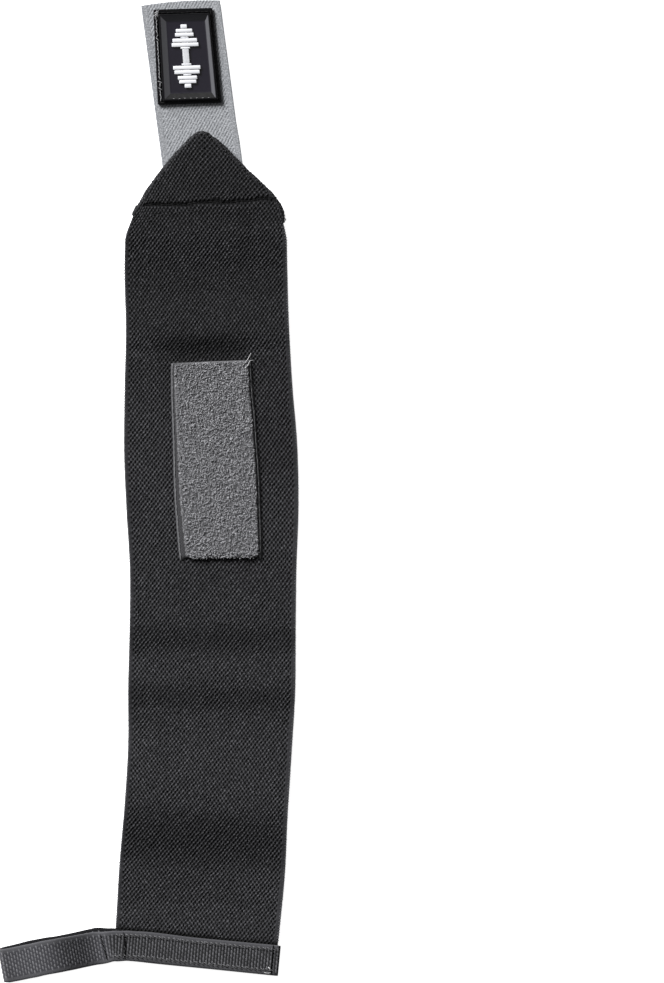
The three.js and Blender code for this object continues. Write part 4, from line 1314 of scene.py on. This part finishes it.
# %% [markdown]
# ## The thumb loop
# One length of webbing covers the strip's raw end, runs out to the left and doubles back on itself.
# It is the same centre line as in the solid: straight over the strip, a slight bend, then the loop.
# Webbing keeps its form, so it is modelled directly and not simulated.

# %% The webbing's line
WEBBING_WIDTH = 16.0
LOOP_REACH = 52.8
SEWN_LENGTH = ELASTIC_WIDTH + 0.6
WEBBING_TABLE = [
    # sewn, loop, width, seat, open, shift
    (0, 0, 0.965, 1, 0, -0.03), (0.5, 0, 0.95, 1, 0, -0.03), (0.93, 0, 0.92, 1, 0, -0.01),
    (1, 0.02, 0.9, 1, 0, 0.03), (1, 0.15, 0.97, 0, 0, 0.09), (1, 0.55, 1, 0, 1, 0.06),
    (1, 1, 1, 0, 0.38, 0.01),
]
LAID_TABLE = [
    # sewn, loop, front to the side, rear to the side, how much narrower (mm)
    (0, 0, -0.2, 0, 0.6), (0.5, 0, -0.15, 0, 0.65), (0.8, 0, 0.3, 0, 0.35), (0.9, 0, 0, 0, 0.3),
    (0.98, 0, -0.7, 0, 0.1), (1, 0.065, -0.9, 0.1, 0), (1, 0.2, -0.5, -0.25, 0), (1, 0.35, -0.45, -0.45, 0),
    (1, 0.49, -0.3, -0.5, 0), (1, 0.63, -0.25, -0.15, 0), (1, 0.77, -0.6, 0.1, 0), (1, 0.95, -0.85, -0.1, 0),
    (1, 1, -0.85, -0.2, 0),
]
WEBBING_GROUND = 0.8
REAR_MIDDLE = WEBBING_THICKNESS / 2
CLOSED_MIDDLE = REAR_MIDDLE + WEBBING_THICKNESS + SEWN_GAP


def webbing_column(column, reach, table=WEBBING_TABLE):
    rows = [(row[0] * SEWN_LENGTH + row[1] * LOOP_REACH, row[column]) for row in table]
    return eased(rows, reach)


def front_height(reach):
    on_band = webbing_column(3, reach) * (ELASTIC_THICKNESS + SEWN_GAP)
    return CLOSED_MIDDLE + on_band + webbing_column(4, reach) * 8.0


start_along = WEBBING_OVERLAP - WEBBING_WIDTH / 2
way_x, way_y = (float(v) for v in strip_heading(start_along))
line_start = np.array([float(strip_centre(start_along)), start_along - 0.3])
line_start = line_start + np.array([way_y, -way_x]) * (HALF + 0.6)
reach = np.linspace(0, SEWN_LENGTH + LOOP_REACH, 181)
bend = ease((reach - (SEWN_LENGTH - 4.0)) / 8.0) * math.radians(16)
angle = math.atan2(way_x, -way_y) - 0.012 + bend
heading = np.stack([np.cos(angle), np.sin(angle)], -1)
steps = heading[:-1] * (reach[1] - reach[0])
line = line_start + np.concatenate([[[0, 0]], np.cumsum(steps, axis=0)])
sideways = np.stack([-heading[:, 1], heading[:, 0]], -1)
shift = webbing_column(5, reach) * WEBBING_WIDTH + webbing_column(3, reach, LAID_TABLE)
front_shift = webbing_column(2, reach, LAID_TABLE)
rear = np.column_stack([line - sideways * shift[:, None], np.full(len(line), REAR_MIDDLE)])
front = np.column_stack([line - sideways * front_shift[:, None], front_height(reach)])
TURN_STEPS = 14
turn = np.arange(1, TURN_STEPS)[:, None] / TURN_STEPS
turn_radius = (front[-1, 2] - REAR_MIDDLE) / 2
rounded = np.column_stack([
    line[-1] + heading[-1] * turn_radius * np.sin(turn * math.pi)
    - sideways[-1] * (shift[-1] * (1 - turn) + front_shift[-1] * turn),
    REAR_MIDDLE + turn_radius * (1 - np.cos(turn * math.pi)),
])
centre = np.concatenate([rear, rounded, front[::-1]])
side_way = np.concatenate([sideways, np.repeat(sideways[-1:], TURN_STEPS - 1, 0), sideways[::-1]])
side_way = np.column_stack([side_way, np.zeros(len(side_way))])
half_width = webbing_column(2, reach) * WEBBING_WIDTH / 2 - 0.05 - webbing_column(4, reach, LAID_TABLE)
half_width = np.concatenate([half_width, np.repeat(half_width[-1:], TURN_STEPS - 1), half_width[::-1]])
run = np.concatenate([[0], np.cumsum(np.linalg.norm(np.diff(centre, axis=0), axis=1))])
LOOP_MIDDLE = float(run[-1]) / 2
print("webbing", round(float(run[-1]), 1), "mm long")


def webbing_frame(at, share, above):
    """Points above the webbing's outer face (or below it, inside), with the directions there."""
    middle = np.stack([np.interp(at, run, centre[:, k]) for k in range(3)], -1)
    ahead = unit(np.stack([
        np.interp(at + 0.6, run, centre[:, k]) - np.interp(at - 0.6, run, centre[:, k]) for k in range(3)
    ], -1))
    across = unit(np.stack([np.interp(at, run, side_way[:, k]) for k in range(3)], -1))
    out = unit(np.cross(across, ahead))
    half = np.interp(at, run, half_width)
    return middle + across * (share * half)[:, None] + out * np.asarray(above)[..., None], across, ahead, out


# %% Make the webbing
columns = np.linspace(-1, 1, 19)
rows = np.arange(0, run[-1] + 0.01, 0.9)
grid = np.stack([webbing_frame(np.full(len(columns), at), columns, np.zeros(len(columns)))[0] for at in rows])
cloth = np.stack(np.broadcast_arrays(columns[None] * WEBBING_WIDTH / 2, rows[:, None]), -1)
relief = random.normal(0, 0.02, grid.shape[:2])
points, faces, border, _ = grid_sheet(grid, WEBBING_GROUND, relief, 0.0, rim=0.3)
webbing_loop = make_piece("webbing_loop", points, faces, sheet_marks(cloth, border))
webbing_cloth, shader = start_material(
    "charcoal_polyester_webbing", Roughness=0.85, Sheen_Weight=0.05, Specular_IOR_Level=0.2,
)
waves, parts = cloth_cells(webbing_cloth, 1.0, 0.75)
weft = add_node(webbing_cloth, "ShaderNodeMapRange", {"Value": waves[1], "From Min": -0.8, "From Max": 1.0})
from_middle = add_node(webbing_cloth, "ShaderNodeMath", {0: parts.outputs[1], 1: LOOP_MIDDLE},
                       operation="SUBTRACT")
away = add_node(webbing_cloth, "ShaderNodeMath", {0: from_middle.outputs[0]}, operation="ABSOLUTE")
on_loop = add_node(webbing_cloth, "ShaderNodeMapRange", {
    "Value": away.outputs[0], "From Min": LOOP_MIDDLE - SEWN_LENGTH,
    "From Max": LOOP_MIDDLE - SEWN_LENGTH - 5.0,
})
sewn_tone = add_node(webbing_cloth, "ShaderNodeMix", {
    "Factor": weft.outputs[0], 6: linear("#0e0e10"), 7: linear("#222224"),
}, data_type="RGBA")
base = add_node(webbing_cloth, "ShaderNodeMix", {
    "Factor": on_loop.outputs[0], 6: sewn_tone.outputs[2], 7: linear("#2e2e32"),
}, data_type="RGBA")
aside = add_node(webbing_cloth, "ShaderNodeMath", {0: parts.outputs[0]}, operation="ABSOLUTE")
in_margin = add_node(webbing_cloth, "ShaderNodeMapRange", {
    "Value": aside.outputs[0], "From Min": 5.9, "From Max": 6.4,
})
plain = add_node(webbing_cloth, "ShaderNodeMix", {
    "Factor": in_margin.outputs[0], 6: base.outputs[2], 7: linear("#3e3e41"),
}, data_type="RGBA")
# The rear layer inside the loop is mixed to near black: painted shade on it.
rear_painted_shade = add_node(webbing_cloth, "ShaderNodeMapRange", {
    "Value": parts.outputs[1], "From Min": LOOP_MIDDLE - 5.0, "From Max": LOOP_MIDDLE - 1.0,
    "To Min": 1.0, "To Max": 0.0,
})
shaded = add_node(webbing_cloth, "ShaderNodeMix", {
    "Factor": rear_painted_shade.outputs[0], 6: plain.outputs[2], 7: linear("#07070b"),
}, data_type="RGBA")
join(webbing_cloth, shaded.outputs[2], shader, "Base Color")
fine_relief(webbing_cloth, shader, 0.5, 0.6, 0.15)
dress(webbing_loop, webbing_cloth, "thumb_loop")

# %% [markdown]
# Its ribs run across it. Each is a row of short weft floats, and the next rib's floats are half a
# length further along, as bricks are laid. The margins beside them are plain.

# %% Rib the webbing
RIB_PITCH = 1.48
RIB_ROWS = 5
RIB_FIELD = 0.72
rib_at = np.arange(0.8, run[-1] - 0.8, RIB_PITCH)
rib_index, row_index = np.meshgrid(np.arange(len(rib_at)), np.arange(RIB_ROWS + 1), indexing="ij")
pitch_share = 2 * RIB_FIELD / RIB_ROWS
rib_share = (-RIB_FIELD + (row_index + 0.5 * (rib_index % 2)) * pitch_share).ravel()
rib_place = rib_at[rib_index].ravel()
inside = np.abs(rib_share) < RIB_FIELD + 0.05
rib_share, rib_place = rib_share[inside], rib_place[inside]
rib_parts, rib_tints = [], []
for face in (1, -1):
    above = np.full(len(rib_place), face * (WEBBING_GROUND / 2 - 0.05))
    place, across, ahead, out = webbing_frame(rib_place, rib_share, above)
    slant = 0.16 * face
    way = unit(across + slant * ahead)
    size = uneven_sizes(len(place), (0.9, 0.05), (2.6, 0.15), (0.27, 0.02))
    rib_parts.append(scatter(GRAIN, place, np.cross(way, out * face), way, out * face, size))
    on_loop = ease((LOOP_MIDDLE - SEWN_LENGTH - np.abs(rib_place - LOOP_MIDDLE)) / 5.0)
    rib_tints.append(0.6 * random.uniform(0, 1, len(place)) + 0.3 * on_loop)
points, faces = merge(rib_parts)
webbing_ribs = make_piece("webbing_ribs", points, faces, scattered_marks(GRAIN, np.concatenate(rib_tints)))
webbing_yarn = yarn_material(
    "charcoal_polyester_ribs", "#242426", "#606064", 4.0, Roughness=0.75, Sheen_Weight=0.1,
)
dress(webbing_ribs, webbing_yarn)
print(len(rib_place), "floats on each face")

# %% [markdown]
# A row of stitches runs along each edge where the webbing covers the strip, two short rows cross
# it where the loop begins, and a last row closes the cut end. The thread is as dark as the webbing,
# so the stitches show as small ridges and not as lines.

# %% Sew the webbing on
front_start = float(run[-1])
stitch_parts = []
for share in (-0.72, 0.72):
    at = np.arange(front_start - 2.5, front_start - SEWN_LENGTH + 1, -2.3)
    place, across, ahead, out = webbing_frame(
        at, np.full(len(at), share), np.full(len(at), WEBBING_THICKNESS / 2 - 0.1),
    )
    way = unit(ahead + 0.6 * across + random.normal(0, 0.05, across.shape))
    stitch_parts.append(scatter(STITCH, place, np.cross(way, out), way, out, [0.5, 1.75, 0.5]))
TACK_COUNT = 9
tacks = []
for beyond, length in ((-5.4, 1.7), (4.6, 1.2)):
    share = np.linspace(-0.75, 0.7, TACK_COUNT)
    at = front_start - SEWN_LENGTH - beyond + 0.6 * share + random.normal(0, 0.15, TACK_COUNT)
    place, across, ahead, out = webbing_frame(at, share, np.full(TACK_COUNT, WEBBING_THICKNESS / 2 - 0.06))
    way = unit(0.5 * ahead + across)
    tacks.append(scatter(STITCH, place, np.cross(way, out), way, out, [0.45, length, 0.45]))
share = np.linspace(-0.78, 0.78, 6)
place, across, ahead, out = webbing_frame(
    np.full(6, front_start - 3.4), share, np.full(6, WEBBING_THICKNESS / 2 - 0.05),
)
end_row = scatter(STITCH, place, np.cross(across, out), across, out, [0.5, 2.0, 0.5])
points, faces = merge(stitch_parts)
webbing_stitches = make_piece("webbing_stitches", points, faces)
dress(webbing_stitches, charcoal_thread)
points, faces = merge([*tacks, end_row])
webbing_tacks = make_piece("webbing_tacks", points, faces)
dress(webbing_tacks, black_thread)

# %% [markdown]
# ## The seam across the point
# One row of black stitches lies in the groove where the folded corners and the tab are sewn down.

# %% Sew the seam across the point
seam_x = np.arange(-25.5, 39.5, 2.6)
seam_y = SEAM_PLACE[1] + SEAM_SLOPE * (seam_x - SEAM_PLACE[0])
place = np.stack([seam_x, seam_y, np.zeros(len(seam_x))], -1)
place[:, 1] -= past_seam(place)
place[:, 2] = strip_lift(seam_y) + ELASTIC_THICKNESS - SEAM_DEPTH + 0.05
way = unit(np.gradient(place, axis=0))
points, faces = scatter(STITCH, place, np.cross(way, [0, 0, 1]), way, [0, 0, 1], [0.42, 2.2, 0.42])
seam_stitches = make_piece("seam_stitches", points, faces)
dress(seam_stitches, black_thread)
print(len(seam_x), "stitches in the seam")

# %% [markdown]
# ## Loose threads
# A used wrap sheds threads where something was cut: at the end of the seam, at a corner of the
# patch and at the cut end of the webbing. Each is a thin curved tube.

# %% Let a few threads hang out
def loose_thread(points, radius):
    """A thin tube through a few points, smoothed."""
    line = smooth_line(np.asarray(points, float), 5)
    return tube(line, np.linspace(radius, radius * 0.6, len(line)), 5)


seam_end_place = np.array([38.6, 369.9, 6.0])
points, faces = loose_thread(seam_end_place + [
    [-3, 0.2, -0.1], [-1, 0.4, 0.2], [0.8, 1.0, -0.4], [1.5, 0.9, -1.2],
], 0.16)
seam_end = make_piece("seam_thread_end", points, faces)
dress(seam_end, black_thread)

patch_corner = laid_patch([[PATCH_WIDTH / 2 - 2.2, PATCH_LENGTH / 2 - 1.0, 0.9]])[0]
webbing_corner = webbing_frame(
    np.array([front_start - 4.0]), np.array([0.62]), np.array([WEBBING_THICKNESS / 2 + 0.3]),
)[0][0]
LIGHT_ENDS = [
    (patch_corner, [[-2, -1.5, 0.9], [-0.4, 0.2, 0.8], [0.9, 2.2, 0.2], [1.9, 4.4, -0.4]], 0.18),
    (patch_corner, [[-1, -3, 0.8], [0.6, -1.4, 0.7], [1.3, 0.4, 0.3], [2.9, 1.0, -0.3]], 0.18),
    (webbing_corner, [[-0.6, 0.9, 0], [0, 0.2, 0.4], [0.5, -0.7, 0.1]], 0.3),
    (webbing_corner, [[-2.6, -1.6, 0], [-1.2, -2.0, 0.2], [0.6, -1.7, 0]], 0.18),
]
points, faces = merge([loose_thread(place + path, radius) for place, path, radius in LIGHT_ENDS])
light_bits = make_piece("light_thread_ends", points, faces)
dress(light_bits, light_thread)

# %% [markdown]
# ## The floor
# The wrap lies on a plain white table. Tables for such pictures are opal acrylic, lit from within so
# that no shadow shows on them. The top is a touch below the wrap so that nothing flickers.

# %% Lay the table
TABLE_HALF = 6.0
TABLE_TOP = -0.0001
floor_mesh = bpy.data.meshes.new("table_top")
floor_mesh.from_pydata([
    (x * TABLE_HALF, y * TABLE_HALF, TABLE_TOP) for x, y in ((-1, -1), (1, -1), (1, 1), (-1, 1))
], [], [(0, 1, 2, 3)])
floor = bpy.data.objects.new("table_top", floor_mesh)
bpy.context.scene.collection.objects.link(floor)
opal, shader = start_material("white_opal_acrylic", Base_Color=linear("#f4f4f4"), Roughness=0.8)
shader.inputs["Emission Color"].default_value = (1.0, 1.0, 1.0, 1.0)
shader.inputs["Emission Strength"].default_value = 0.9
floor_mesh.materials.append(opal)
floor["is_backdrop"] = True

# %% [markdown]
# ## How big it is
# The box round everything that is drawn is measured and printed, and kept with the imported model's box.

# %% Measure and finish
new_low, new_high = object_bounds()
sizes = {
    "cad_low": [round(v, 5) for v in cad_low], "cad_high": [round(v, 5) for v in cad_high],
    "visual_low": [round(v, 5) for v in new_low], "visual_high": [round(v, 5) for v in new_high],
}
print("box in mm:", [[round(1000 * v, 1) for v in corner] for corner in (new_low, new_high)])
